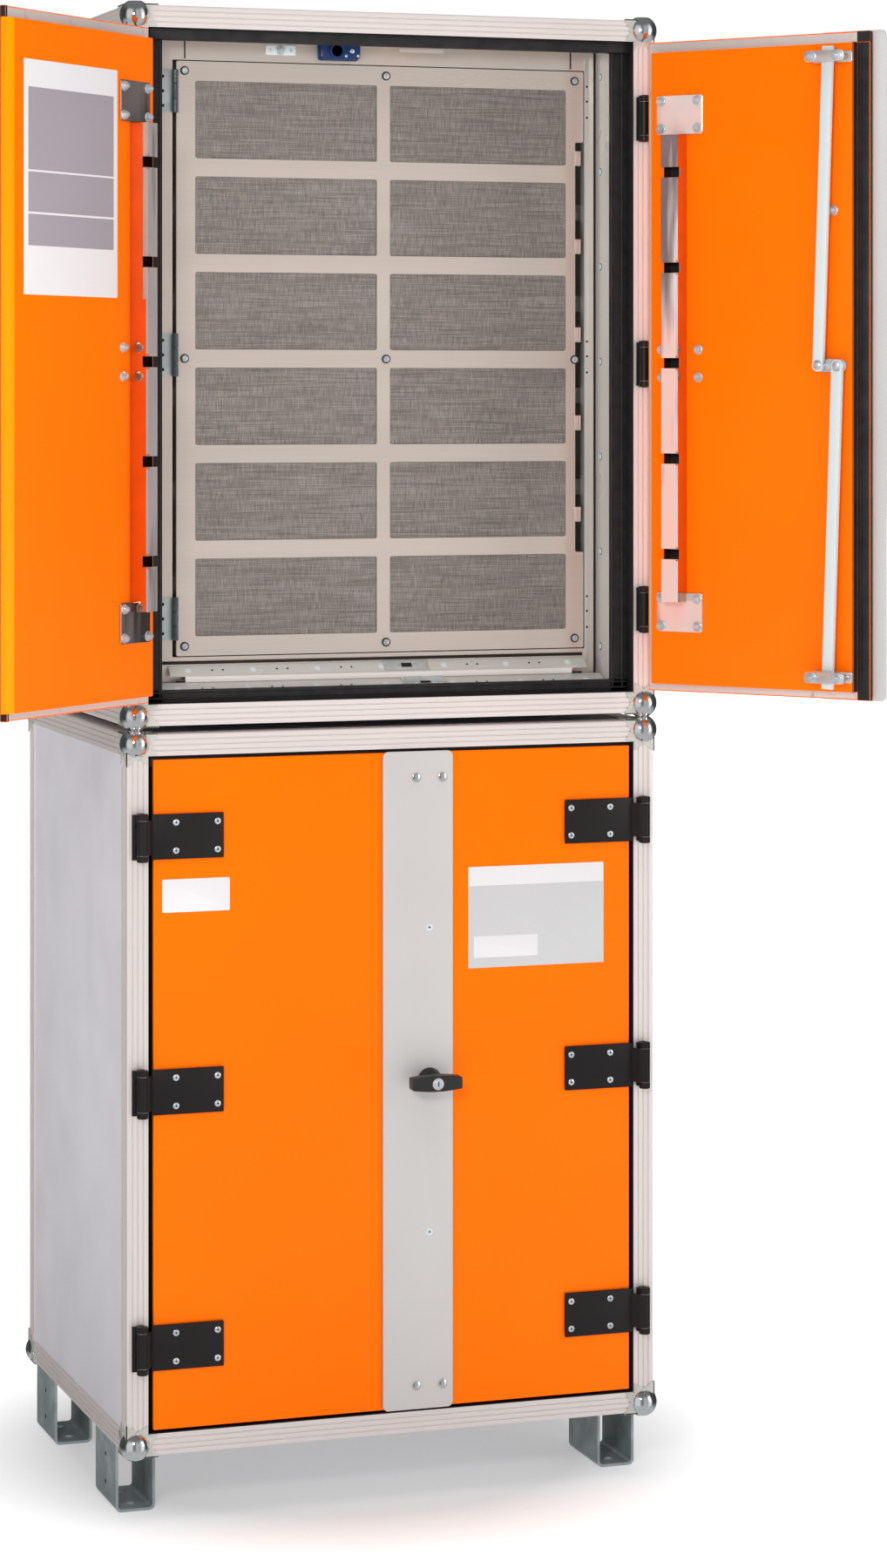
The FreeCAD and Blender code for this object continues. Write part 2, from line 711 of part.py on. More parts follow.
def make_channel(cabinet, base, side, name, holes):
    """The slotted U channel on the inner panel, and the square plate at each end of it."""
    far = f"({AXIS_X} - channel_inset)"
    near = f"({far} - channel_width)"
    span_z = to(f"{base} + {DOOR_LOW} + channel_low_inset", f"{base} + {DOOR_HIGH} - channel_high_inset")
    outer = box(name + "_u_outer", on_side(side, near, far), (PLUG_BACK, "channel_depth"), span_z)
    bore = box(
        name + "_u_bore",
        on_side(side, f"{near} + channel_sheet", f"{far} - channel_sheet"),
        (f"{PLUG_BACK} - 1", "channel_depth - channel_sheet + 1"),
        (f"{span_z[0]} - 1", f"{span_z[1]} + 2"),
    )
    slot_x = on_side(side, f"{near} - 1", f"{near} + slot_width")
    slot_y = to(f"{PLUG_BACK} + channel_depth - slot_depth", f"{PLUG_BACK} + channel_depth + 1")
    pitch = f"(({span_z[1]} - slot_low_gap - slot_high_gap - slot_height) / (slot_count - 1))"
    slots = []
    for index in range(SIZES["slot_count"]):
        slot_z = (f"{span_z[0]} + slot_low_gap + {index} * {pitch}", "slot_height")
        slots.append(box(f"{name}_slot_{index}", slot_x, slot_y, slot_z))
    channel = cut(name + "_u", outer, bore, *slots)
    middle = f"({AXIS_X} - (bolt_near + bolt_far) / 2)"
    plate_x = on_side(side, f"{middle} - end_plate_width / 2", f"{middle} + end_plate_width / 2")
    room_y = (f"{PLUG_BACK} - 1", "end_plate_sheet + 2")
    room = box(name + "_u_room", on_side(side, near, far), room_y, span_z)
    plates = []
    for index, rise in enumerate((HINGE_RISES[0], HINGE_RISES[2])):
        plate_z = about(f"{base} + {rise}", "end_plate_height")
        slab = box(f"{name}_end_slab_{index}", plate_x, (PLUG_BACK, "end_plate_sheet"), plate_z)
        plates.append(cut(f"{name}_end_plate_{index}", slab, holes, room))
    swing(node(name + "_channel", channel, *plates), cabinet, side)


def bolt(name, x, z, head_y, inner_y):
    """A bolt through a door: its head outside, its shank, and its nut on the inside."""
    head_front = f"{head_y} - bolt_head_thick"
    head = cylinder(name + "_head", "y", x, head_front, z, "bolt_head_radius", "bolt_head_thick")
    shank = cylinder(name + "_shank", "y", x, head_y, z, "bolt_radius", f"{inner_y} + bolt_end - ({head_y})")
    nut = hexagon(name + "_nut", x, inner_y, z, "nut_radius", "nut_thick")
    return fuse(name, head, shank, nut)


def make_bolts(cabinet, base, side, name):
    bolts = []
    for index, (x, z) in enumerate(bolt_places(side, base)):
        at_end = index < 4 or index >= 8
        inner = f"({PLUG_BACK} + end_plate_sheet)" if at_end else PLUG_BACK
        bolts.append(bolt(f"{name}_bolt_{index}", x, z, f"{FRONT} - hinge_plate_thick", inner))
    if side == RIGHT:
        for index, (x, z) in enumerate(screw_places(base)):
            bolts.append(bolt(f"{name}_screw_{index}", x, z, STRIP_FRONT, PLUG_BACK))
    swing(node(name + "_bolts", *bolts), cabinet, side)


def make_right_door_trim(cabinet, base, name, holes):
    height = to(f"{base} + {DOOR_LOW}", f"{base} + {DOOR_HIGH}")
    strip = rounded(name + "_strip", ("-strip_overhang", "strip_width"),
                    (STRIP_FRONT, "strip_thick"), height, "y", "strip_radius")
    swing(node(name + "_cover_strip", cut(name + "_strip_bored", strip, holes)), cabinet, RIGHT)
    seal_z = to(f"{base} + {DOOR_LOW}", f"{base} + {DOOR_HIGH} - plug_margin_high")
    seal = box(name + "_rubber", ("0", "edge_seal_width"), (LEAF_BACK, "edge_seal_thick"), seal_z)
    swing(node(name + "_edge_seal", seal), cabinet, RIGHT)


def make_guides(cabinet, base, name):
    """Two guides for the lock rods: a base plate, a bar in front, and two studs through the door."""
    pieces = []
    across = about("lock_inset", "guide_width")
    studs = lock_places(base)
    bar_y = f"({PLUG_BACK} + guide_bar_lift)"
    bar_top = f"({bar_y} + guide_bar_thick)"
    for level in range(2):
        rise = studs[2 * level][1]
        bores = []
        for end in range(2):
            bore_name = f"{name}_guide_bore_{level}{end}"
            x = studs[2 * level + end][0]
            reach = f"{bar_top} - {PLUG_BACK}"
            bores.append(cylinder(bore_name, "y", x, PLUG_BACK, rise, "stud_radius", reach))
        blocks = {
            "base": (PLUG_BACK, "guide_base"),
            "bar": (bar_y, "guide_bar_thick"),
        }
        for word, span in blocks.items():
            tag = f"{name}_guide_{word}_{level}"
            slab = rounded(tag + "_slab", across, span, about(rise, "guide_height"), "y", "plate_corner")
            pieces.append(cut(tag, slab, *bores))
        for end in range(2):
            x, z = studs[2 * level + end]
            tag = f"{name}_stud_{level}{end}"
            head_y = f"{STRIP_FRONT} - stud_head_thick"
            reach = f"{bar_top} + nut_thick + stud_end - {STRIP_FRONT}"
            head = cylinder(tag + "_head", "y", x, head_y, z, "stud_head_radius", "stud_head_thick")
            shank = cylinder(tag + "_shank", "y", x, STRIP_FRONT, z, "stud_radius", reach)
            nut = hexagon(tag + "_nut", x, bar_top, z, "guide_nut_radius", "nut_thick")
            pieces.append(fuse(tag, head, shank, nut))
    swing(node(name + "_rod_guides", *pieces), cabinet, RIGHT)


# Lock of a right door: handle, key cylinder, cam and two rods

def make_lock(cabinet, base, name):
    rise = f"({base} + {LOCK_RISE})"
    face = f"({STRIP_FRONT} - seal_clear)"
    grip_y = f"({face} - hub_depth - grip_depth / 2)"
    cam_y = f"({PLUG_BACK} + cam_lift)"
    bar_y = f"({PLUG_BACK} + bar_lift)"
    cylinder_y = f"({grip_y} - grip_depth / 2 - cylinder_proud)"

    grip = doc.addObject("Part::Ellipsoid", name + "_grip_round")
    bind(grip, Placement__Base__x="lock_inset", Placement__Base__y=grip_y, Placement__Base__z=rise,
         Radius1="grip_height / 2", Radius2="grip_taper_length / 2", Radius3="grip_depth / 2")
    ends = box(name + "_grip_ends", about("lock_inset", "grip_length"), about(grip_y, "grip_depth + 2"),
               about(rise, "grip_height + 2"))
    flat_grip = doc.addObject("Part::Common", name + "_grip")
    flat_grip.Base, flat_grip.Tool = grip, ends
    hub = cylinder(name + "_hub", "y", "lock_inset", f"{face} - hub_depth", rise, "hub_radius", "hub_depth")
    neck = cylinder(name + "_neck", "y", "lock_inset", grip_y, rise, "hub_neck_radius", "grip_depth / 2 + 1")
    shaft = cylinder(name + "_shaft", "y", "lock_inset", f"{face} - 1", rise, "shaft_radius",
                     f"{cam_y} + cam_thick + pin_proud - {face}")
    socket = cylinder(name + "_socket", "y", "lock_inset", f"{cylinder_y} - 1", rise,
                      "cylinder_radius + pin_clear", "cylinder_length + 1")
    handle = cut(name + "_handle_bored", fuse(name + "_handle_whole", flat_grip, hub, neck, shaft), socket)
    swing(node(name + "_handle", handle), cabinet, RIGHT)

    barrel = cylinder(name + "_barrel", "y", "lock_inset", cylinder_y, rise, "cylinder_radius",
                      "cylinder_length - end_clear")
    keyway_y = (f"{cylinder_y} - 1", "keyway_depth + 1")
    keyway_z = about(rise, "keyway_height")
    keyway = box(name + "_keyway", about("lock_inset", "keyway_width"), keyway_y, keyway_z)
    swing(node(name + "_key_cylinder", cut(name + "_key_barrel", barrel, keyway)), cabinet, RIGHT)

    cam_x = about("lock_inset", "2 * cam_throw + cam_height")
    cam_z = about(rise, "cam_height")
    cam_plate = rounded(name + "_cam_plate", cam_x, (cam_y, "cam_thick"), cam_z, "y", "cam_round")
    cam_bore = cylinder(name + "_cam_bore", "y", "lock_inset", cam_y, rise, "shaft_radius", "cam_thick")
    pin_reach = "bar_lift - cam_lift + bar_thick + pin_proud"
    pins = []
    for word, step in (("high", "+"), ("low", "-")):
        pin_x = f"lock_inset {step} cam_throw"
        pins.append(cylinder(f"{name}_cam_pin_{word}", "y", pin_x, cam_y, rise, "cam_pin_radius", pin_reach))
    cam = cut(name + "_cam_bored", fuse(name + "_cam_whole", cam_plate, *pins), cam_bore)
    swing(node(name + "_cam", cam), cabinet, RIGHT)

    tips = {
        "high": ("+", f"({base} + box_height - bar_high_tip)", f"({base} + box_height - guide_high_inset)"),
        "low": ("-", f"({base} + bar_low_tip)", f"({base} + guide_low_inset)"),
    }
    for word, (step, tip, guide) in tips.items():
        make_lock_rod(cabinet, f"{name}_rod_{word}", step, tip, guide, rise, bar_y)


def make_lock_rod(cabinet, name, step, tip, guide, rise, bar_y):
    """A flat bar with an eye on a cam pin, leaning so that it passes through the middle of its guide."""
    upward = step == "+"
    pin_x = f"(lock_inset {step} cam_throw)"
    reach = f"({tip} - {rise})" if upward else f"({rise} - {tip})"
    lean = f"atan(cam_throw / abs({guide} - {rise}))"
    along = ("0", reach) if upward else (f"-{reach}", reach)
    bar = box(name + "_bar", about("0", "bar_width"), ("0", "bar_thick"), along)
    eye = cylinder(name + "_eye", "y", "0", "0", "0", "bar_width / 2", "bar_thick")
    bore = cylinder(name + "_bore", "y", "0", "-1", "0", "cam_pin_radius + pin_clear", "bar_thick + 2")
    leaning = group(name + "_leaning", cut(name + "_bored", fuse(name + "_whole", bar, eye), bore))
    leaning.Placement.Rotation = FreeCAD.Rotation(FreeCAD.Vector(0, -1, 0), 2)
    bind(leaning, Placement__Rotation__Angle=lean, Placement__Base__x=pin_x, Placement__Base__y=bar_y,
         Placement__Base__z=rise)
    swing(node(name, leaning), cabinet, RIGHT)


# Inner frame and mesh door of the upper cabinet

def make_inner_frame(base):
    """Four folded strips round the mesh door, each a flat face with a return along the opening."""
    opening_low = f"({base} + {FRAME_SILL})"
    opening_high = f"({base} + {FRAME_HEADER})"
    full = to(f"{base} + wall_low", f"{base} + {CEILING}")
    face_y = (MESH_FRONT, "frame_sheet")
    return_y = (MESH_FRONT, "frame_return")
    strips = []
    for side, word, edge in ((LEFT, "left", FRAME_LEFT), (RIGHT, "right", FRAME_RIGHT)):
        name = f"inner_frame_{word}"
        face = box(name + "_face", on_side(side, edge, INNER_SIDE), face_y, full)
        fold = box(name + "_return", on_side(side, edge, f"{edge} + frame_sheet"), return_y,
                   to(opening_low, opening_high))
        strips.append(fuse(name, face, fold))
    across = to(f"-{FRAME_LEFT}", FRAME_RIGHT)
    levels = {
        "sill": (to(full[0], opening_low), (f"{opening_low} - frame_sheet", "frame_sheet")),
        "header": (to(opening_high, f"{base} + {CEILING}"), (opening_high, "frame_sheet")),
    }
    for word, (face_z, fold_z) in levels.items():
        name = f"inner_frame_{word}"
        face = box(name + "_face", across, face_y, face_z)
        strips.append(fuse(name, face, box(name + "_return", across, return_y, fold_z)))
    leaves = []
    for index, rise in enumerate(mesh_hinge_rises(base)):
        leaves += mesh_frame_leaf(f"mesh_frame_leaf_{index}", rise)
    node("upper_inner_frame", *strips, *leaves)


def mesh_hinge_rises(base):
    low = f"({base} + {MESH_LOW} + mesh_hinge_low_inset)"
    high = f"({base} + {MESH_HIGH} - mesh_hinge_high_inset)"
    return (low, f"(({low} + {high}) / 2)", high)


MESH_AXIS_X = f"(-({MESH_LEFT} + mesh_axis_inset))"
MESH_AXIS_Y = f"({MESH_FRONT} - mesh_axis_lift)"


def mesh_frame_leaf(name, rise):
    low = f"({rise} - mesh_hinge_height / 2)"
    edge = f"({MESH_AXIS_X} - mesh_barrel_radius - end_clear)"
    plate = box(name + "_plate", (f"{edge} - mesh_hinge_leaf", "mesh_hinge_leaf"),
                (f"{MESH_FRONT} - mesh_hinge_sheet", "mesh_hinge_sheet"), (low, "mesh_hinge_height"))
    solids = [plate]
    bridge_y = to(f"{MESH_FRONT} - mesh_axis_lift / 2", f"{MESH_FRONT} - end_clear")
    for word, start in (("low", low), ("high", f"{rise} + mesh_hinge_height / 2 - mesh_barrel_end")):
        tag = f"{name}_{word}"
        height = "mesh_barrel_end"
        solids += [
            cylinder(tag + "_barrel", "z", MESH_AXIS_X, MESH_AXIS_Y, start, "mesh_barrel_radius", height),
            box(tag + "_bridge", to(f"{edge} - 1", MESH_AXIS_X), bridge_y, (start, height)),
        ]
    bore = cylinder(name + "_bore", "z", MESH_AXIS_X, MESH_AXIS_Y, f"{low} - 1", "mesh_pin_radius",
                    "mesh_hinge_height + 2")
    pin = cylinder(name + "_pin", "z", MESH_AXIS_X, MESH_AXIS_Y, low, "mesh_pin_radius", "mesh_hinge_height")
    return [cut(name, fuse(name + "_whole", *solids), bore), pin]


def make_mesh_hinges(base):
    """The moving leaves: a middle barrel and a leaf along the side of the mesh door's return."""
    leaves = []
    for index, rise in enumerate(mesh_hinge_rises(base)):
        name = f"mesh_door_leaf_{index}"
        low = f"({rise} - mesh_hinge_height / 2 + mesh_barrel_end + end_clear)"
        size = "mesh_hinge_height - 2 * mesh_barrel_end - 2 * end_clear"
        barrel = cylinder(name + "_barrel", "z", MESH_AXIS_X, MESH_AXIS_Y, low, "mesh_barrel_radius", size)
        leaf = box(name + "_plate", (f"-{MESH_LEFT} - mesh_hinge_sheet", "mesh_hinge_sheet"),
                   to(MESH_AXIS_Y, f"{MESH_FRONT} + mesh_return"), (low, size))
        radius = "mesh_pin_radius + pin_clear"
        bore = cylinder(name + "_bore", "z", MESH_AXIS_X, MESH_AXIS_Y, f"{low} - 1", radius, f"{size} + 2")
        leaves.append(cut(name, fuse(name + "_whole", barrel, leaf), bore))
    node("mesh_door_hinges", *leaves)


def make_mesh_door(base):
    across = to(f"-{MESH_LEFT}", MESH_RIGHT)
    height = to(f"{base} + {MESH_LOW}", f"{base} + {MESH_HIGH}")
    slab = box("mesh_slab", across, (MESH_FRONT, "mesh_return"), height)
    inside = box(
        "mesh_inside",
        (f"{across[0]} + mesh_sheet", f"{across[1]} - 2 * mesh_sheet"),
        (f"{MESH_FRONT} + mesh_sheet", "mesh_return"),
        (f"{height[0]} + mesh_sheet", f"{height[1]} - 2 * mesh_sheet"),
    )
    recess_z = to(f"{height[0]} + recess_low_inset", f"{base} + {MESH_HIGH} - recess_high_inset")
    recess_y = (f"{MESH_FRONT} - 1", "mesh_return + 2")
    recess = box("mesh_recess", (f"{MESH_RIGHT} - recess_depth", "recess_depth + 1"), recess_y, recess_z)
    window_wide = f"(({across[1]} - 2 * mesh_margin - mesh_post) / 2)"
    window_high = f"(({height[1]} - 2 * mesh_margin - (mesh_rows - 1) * mesh_bar) / mesh_rows)"
    windows = []
    for column in range(2):
        for row_index in range(SIZES["mesh_rows"]):
            x = f"{across[0]} + mesh_margin + {column} * ({window_wide} + mesh_post)"
            z = f"{height[0]} + mesh_margin + {row_index} * ({window_high} + mesh_bar)"
            windows.append(box(f"mesh_window_{column}{row_index}", (x, window_wide),
                               (f"{MESH_FRONT} - 1", "mesh_sheet + 2"), (z, window_high)))
    rest = f"({MESH_FRONT} + mesh_sheet)"
    node("mesh_door_frame", cut("mesh_plate", slab, inside, recess, *windows))
    cover = "mesh_margin / 2"
    node("mesh_door_wire", box(
        "mesh_cloth",
        (f"{across[0]} + {cover}", f"{across[1]} - 2 * {cover}"),
        (rest, "mesh_wire"),
        (f"{height[0]} + {cover}", f"{height[1]} - 2 * {cover}"),
    ))


def make_header_fittings(base):
    middle = f"({base} + ({CEILING} + {FRAME_HEADER}) / 2)"
    left = "-inlet_left"
    housing = rounded("inlet_housing", (left, "inlet_width"), (f"{MESH_FRONT} - inlet_depth", "inlet_depth"),
                      about(middle, "(frame_strip_high - 2 * inlet_clear)"), "y", "inlet_corner")
    socket_x = f"{left} + inlet_socket_inset"
    mouth = f"({MESH_FRONT} - inlet_depth)"
    socket = cylinder("inlet_socket", "y", socket_x, f"{mouth} - 1", middle, "inlet_socket_radius",
                      "inlet_socket_depth + 1")
    contact = cylinder("inlet_contact", "y", socket_x, f"{mouth} + inlet_contact_setback", middle,
                       "inlet_contact_radius", "inlet_socket_depth")
    node("power_inlet", fuse("inlet_whole", cut("inlet_shell", housing, socket), contact))
    plate_front = f"({MESH_FRONT} - bracket_sheet)"
    plate_z = about(middle, "bracket_height")
    plate = box("bracket_plate", ("-bracket_left", "bracket_width"), (plate_front, "bracket_sheet"), plate_z)
    x = "-bracket_left + bracket_width / 2"
    bolt_y = f"{MESH_FRONT} - bracket_bolt_length"
    stud = cylinder("bracket_bolt", "y", x, bolt_y, middle, "bracket_bolt_radius", "bracket_bolt_length")
    nut = hexagon("bracket_nut", x, f"{plate_front} - nut_thick", middle, "nut_radius", "nut_thick")
    node("earth_bracket", fuse("bracket_whole", plate, stud, nut))


# Assembly

make_feet()
make_corners()
make_frame_leaves()
make_strikes()
for cabinet, base in CABINETS.items():
    make_rails(cabinet, base)
    make_walls(cabinet, base)
    make_seal(cabinet, base)
    make_shelves(cabinet, base)
    for side, word in ((LEFT, "left"), (RIGHT, "right")):
        name = f"{cabinet}_{word}_door"
        holes = door_holes(name, side, base)
        make_leaf_and_plug(cabinet, base, side, name, holes)
        make_hinge_plates(cabinet, base, side, name, holes)
        make_channel(cabinet, base, side, name, holes)
        make_bolts(cabinet, base, side, name)
        if side == RIGHT:
            make_right_door_trim(cabinet, base, name, holes)
            make_guides(cabinet, base, name)
            make_lock(cabinet, base, f"{cabinet}_lock")
make_inner_frame(CABINETS["upper"])
make_mesh_door(CABINETS["upper"])
make_mesh_hinges(CABINETS["upper"])
make_header_fittings(CABINETS["upper"])

# Checks and files

doc.recompute()
failed = [item.Label for item in doc.Objects if {"Invalid", "Error"} & set(item.State)]
failed += [label for label, item in NODES.items() if item.Shape.isNull() or not item.Shape.isValid()]
if failed:
    raise RuntimeError("failed: " + ", ".join(failed))
os.makedirs("parts", exist_ok=True)
for label, item in NODES.items():
    item.Shape.exportStep(f"parts/{label}.step")
print(len(NODES), "nodes")
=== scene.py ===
# Two stacked battery cabinets: the upper one open on its mesh inner door, the lower one closed.
# Lengths are millimetres in the frame's own axes: X right, Y back, Z up. Blender gets them in metres.

import json
import math
from itertools import chain, pairwise, product

import bmesh
import bpy
from mathutils import Matrix, Vector


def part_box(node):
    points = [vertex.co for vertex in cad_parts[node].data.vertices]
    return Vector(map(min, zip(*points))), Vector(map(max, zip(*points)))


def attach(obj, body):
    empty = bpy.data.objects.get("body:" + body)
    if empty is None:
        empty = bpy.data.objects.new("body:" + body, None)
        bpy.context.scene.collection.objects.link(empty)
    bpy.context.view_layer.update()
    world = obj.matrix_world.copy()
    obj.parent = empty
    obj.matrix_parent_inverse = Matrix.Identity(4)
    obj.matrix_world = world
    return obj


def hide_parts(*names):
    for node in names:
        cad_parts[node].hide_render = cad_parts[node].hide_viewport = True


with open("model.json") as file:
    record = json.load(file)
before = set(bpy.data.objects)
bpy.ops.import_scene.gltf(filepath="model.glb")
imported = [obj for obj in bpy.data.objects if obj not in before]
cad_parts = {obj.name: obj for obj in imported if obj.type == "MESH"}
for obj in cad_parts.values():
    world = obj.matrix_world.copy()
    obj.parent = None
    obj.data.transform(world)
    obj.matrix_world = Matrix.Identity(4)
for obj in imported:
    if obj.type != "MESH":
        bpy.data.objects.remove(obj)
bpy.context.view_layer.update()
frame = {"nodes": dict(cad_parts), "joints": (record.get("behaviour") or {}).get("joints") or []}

MM = 0.001
RIGHT, LEFT = 1, -1
SIDES = {"left": LEFT, "right": RIGHT}


# Places, read from the frame

def node_box(node):
    """The lowest and highest corner of a CAD node, in millimetres."""
    low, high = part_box(node)
    return Vector(low) / MM, Vector(high) / MM


def joint(name):
    return next(item for item in frame["joints"] if item["name"] == name)


def three_heights(box, inset):
    """Heights near the bottom, in the middle and near the top of a box."""
    low, high = box[0].z, box[1].z
    return low + inset, (low + high) / 2, high - inset


def seen_from_front(box):
    """The middle of a box as (x, z), its width and its height."""
    low, high = box
    return ((low.x + high.x) / 2, (low.z + high.z) / 2), high.x - low.x, high.z - low.z


RAILS = node_box("lower_edge_rails")
SKIN = 1
BOX_LOW = RAILS[0] - Vector((SKIN, SKIN, SKIN))
BOX_HIGH = RAILS[1] + Vector((SKIN, SKIN, SKIN))
FRONT = BOX_LOW.y
FLOOR, TOP = BOX_LOW.z, BOX_HIGH.z
HALF = BOX_HIGH.x
RAIL = 32
LIFTS = {"lower": 0.0, "upper": node_box("upper_edge_rails")[0].z - RAILS[0].z}
LEAF = node_box("lower_right_door_leaf")
PLUG = node_box("lower_right_door_inner_panel")
LEAF_LOW, LEAF_HIGH = LEAF[0].z, LEAF[1].z
PLUG_LOW, PLUG_HIGH = PLUG[0].z, PLUG[1].z
LEAF_BACK, PLUG_BACK = LEAF[1].y, PLUG[1].y
LEFT_FREE = node_box("lower_left_door_leaf")[1].x
STRIP = node_box("lower_right_door_cover_strip")
LINER = node_box("lower_liner")
MESH = node_box("mesh_door_frame")
HINGE_AXIS = Vector(joint("lower_right_door_hinge")["pos_m"]) / MM
LOCK = Vector(joint("lower_handle_turn")["pos_m"]) / MM
LOCK.y = STRIP[0].y
HINGE_BOX = node_box("lower_right_door_hinge_plates")
HINGE_HEIGHT = 68
HINGE_MIDS = three_heights(HINGE_BOX, HINGE_HEIGHT / 2)


def lifted(cabinet):
    return Matrix.Translation((0, 0, LIFTS[cabinet]))


def door_place(cabinet, word):
    """Where a door, drawn closed on the lower cabinet, stands in the photograph."""
    hinge = joint(f"{cabinet}_{word}_door_hinge")
    turn = math.radians(-hinge["range_deg"][0])
    pivot = Matrix.Translation((SIDES[word] * HINGE_AXIS.x, HINGE_AXIS.y, 0))
    return lifted(cabinet) @ pivot @ Matrix.Rotation(turn, 4, Vector(hinge["axis"])) @ pivot.inverted()


# Node materials

class Nodes:
    """A node tree, with short ways to add nodes to it."""

    def __init__(self, tree):
        self.nodes, self.link = tree.nodes, tree.links.new

    def fill(self, node, inputs):
        """Give inputs of a node their values, or link them to other nodes' outputs."""
        for name, value in inputs.items():
            if isinstance(value, bpy.types.NodeSocket):
                self.link(value, node.inputs[name])
            else:
                node.inputs[name].default_value = value

    def add(self, kind, output, inputs=None, **settings):
        """An output of a new node, whose settings are made before its inputs are filled."""
        node = self.nodes.new("ShaderNode" + kind)
        for name, value in settings.items():
            setattr(node, name, value)
        self.fill(node, inputs or {})
        return node.outputs[output]

    def calc(self, operation, first, second):
        return self.add("Math", "Value", {0: first, 1: second}, operation=operation)

    def ramp(self, value, low, high, start=0.35, end=0.65):
        """A value between low and high, while another runs from start to end."""
        inputs = {"Value": value, "From Min": start, "From Max": end, "To Min": low, "To Max": high}
        return self.add("MapRange", "Result", inputs)

    def blend(self, factor, first, second):
        return self.add("Mix", "Result", {"Factor": factor, "A": first, "B": second}, data_type="RGBA")


class Shader(Nodes):
    """A material's node tree, with short ways to vary its surface."""

    def __init__(self, name, colour, roughness, metallic=0.0, specular=0.5):
        self.material = bpy.data.materials.new(name)
        self.material.use_nodes = True
        super().__init__(self.material.node_tree)
        self.colour = colour
        self.set(Base_Color=(*colour, 1), Roughness=roughness, Metallic=metallic, Specular_IOR_Level=specular)

    def set(self, **inputs):
        """Fill inputs of the surface, with _ for each space in their names."""
        named = {name.replace("_", " "): value for name, value in inputs.items()}
        self.fill(self.nodes["Principled BSDF"], named)

    def where(self, stretch=(1, 1, 1)):
        return self.add("Mapping", "Vector", {"Scale": stretch, "Vector": self.add("TexCoord", "Object")})

    def noise(self, scale, detail=4, stretch=(1, 1, 1), distortion=0.0):
        inputs = {"Scale": scale, "Detail": detail, "Distortion": distortion, "Vector": self.where(stretch)}
        return self.add("TexNoise", "Fac", inputs)

    def cells(self, scale):
        colours = self.add("TexVoronoi", "Color", {"Scale": scale, "Vector": self.where()})
        return self.add("SeparateColor", "Red", {"Color": colours})

    def tint(self, factor, darker, lighter, start=0.35, end=0.65):
        """Vary the colour between a darker and a lighter shade of itself."""
        low, high = ([min(1, part * share) for part in self.colour] for share in (darker, lighter))
        self.set(Base_Color=self.blend(self.ramp(factor, 0, 1, start, end), (*low, 1), (*high, 1)))

    def polish(self, factor, low, high):
        self.set(Roughness=self.ramp(factor, low, high))

    def bump(self, height, strength, distance):
        inputs = {"Height": height, "Strength": strength, "Distance": distance}
        self.set(Normal=self.add("Bump", "Normal", inputs))


DRAWN = 0.012


def drawn_metal(name, colour, roughness, along, metallic=0.85):
    """Metal with fine lines along one axis, as an extrusion or brushed sheet has."""
    shader = Shader(name, colour, roughness, metallic)
    stretch = [DRAWN if axis == along else 1.0 for axis in "xyz"]
    lines = shader.noise(520, 2, stretch)
    shader.tint(lines, 0.98, 1.02, 0.3, 0.7)
    shader.polish(shader.noise(9, 5, stretch), roughness * 0.85, roughness * 1.2)
    shader.bump(lines, 0.02, 0.0002)
    return shader.material


def sprayed(name, colour, roughness, specular=0.5, shade=(0.96, 1.03)):
    """Paint or laminate: broad faint clouds and a fine orange-peel bump."""
    shader = Shader(name, colour, roughness, 0.0, specular)
    shader.tint(shader.noise(2.2, 3), *shade)
    shader.polish(shader.noise(14, 6), roughness * 0.88, roughness * 1.15)
    shader.bump(shader.noise(900, 2), 0.05, 0.0003)
    return shader.material


def plated(name, colour, roughness, spangle, metallic):
    """Zinc-plated or galvanised steel with patches of differing shade and faint stains."""
    shader = Shader(name, colour, roughness, metallic)
    patches = shader.calc("MULTIPLY", shader.cells(spangle * 4), shader.noise(spangle, 5))
    shader.tint(patches, 0.88, 1.1, 0.1, 0.5)
    shader.polish(shader.noise(spangle * 2, 6), roughness * 0.7, roughness * 1.4)
    shader.bump(shader.noise(600, 3), 0.05, 0.0004)
    return shader.material


def polished(name, colour, roughness, smear, wave, metallic=1.0):
    """Mirror-like steel with soft wear: roughness in clouds and a slow waviness."""
    shader = Shader(name, colour, roughness, metallic)
    shader.tint(shader.noise(smear * 6, 4), 0.94, 1.03)
    shader.polish(shader.noise(smear, 6, distortion=0.6), roughness * 0.5, roughness * 1.8)
    shader.bump(shader.noise(smear * 3, 2), wave, 0.002)
    return shader.material


def end_sheet(name, dark, light):
    """Polished sheet with a painted reflection: soft upright bands of a dark and a light shade stand for a
    dark room mirrored in it.
    """
    shader = Shader(name, light, 0.16, 0.4)
    # painted reflection: the bands switch the base colour between the dark and the light shade
    bands = shader.ramp(shader.noise(26, 3, (1, 1, 0.1)), 0, 1, 0.36, 0.48)
    shader.set(Base_Color=shader.blend(bands, (*dark, 1), (*light, 1)))
    shader.polish(shader.noise(30, 5), 0.1, 0.26)
    shader.bump(shader.noise(14, 2), 0.3, 0.002)
    return shader.material


def rubber(name):
    shader = Shader(name, (0.008, 0.008, 0.0085), 0.6)
    shader.tint(shader.noise(60, 5), 0.7, 1.5)
    shader.polish(shader.noise(25, 4), 0.55, 0.75)
    shader.bump(shader.noise(1400, 3), 0.12, 0.0003)
    return shader.material


def edge_sheet(name):
    """The galvanised margin round a door's inner panel, with dark specks and streaks."""
    pale, stain = (0.62, 0.58, 0.55), (0.2, 0.185, 0.175)
    shader = Shader(name, pale, 0.42, 0.35)
    specks = shader.ramp(shader.noise(85, 6, (1, 1, 0.45)), 0, 1, 0.6, 0.72)
    streaks = shader.calc("MULTIPLY", specks, shader.ramp(shader.noise(7, 4), 0, 1, 0.45, 0.6))
    shader.set(Base_Color=shader.blend(streaks, (*pale, 1), (*stain, 1)))
    shader.bump(specks, 0.08, 0.0004)
    return shader.material


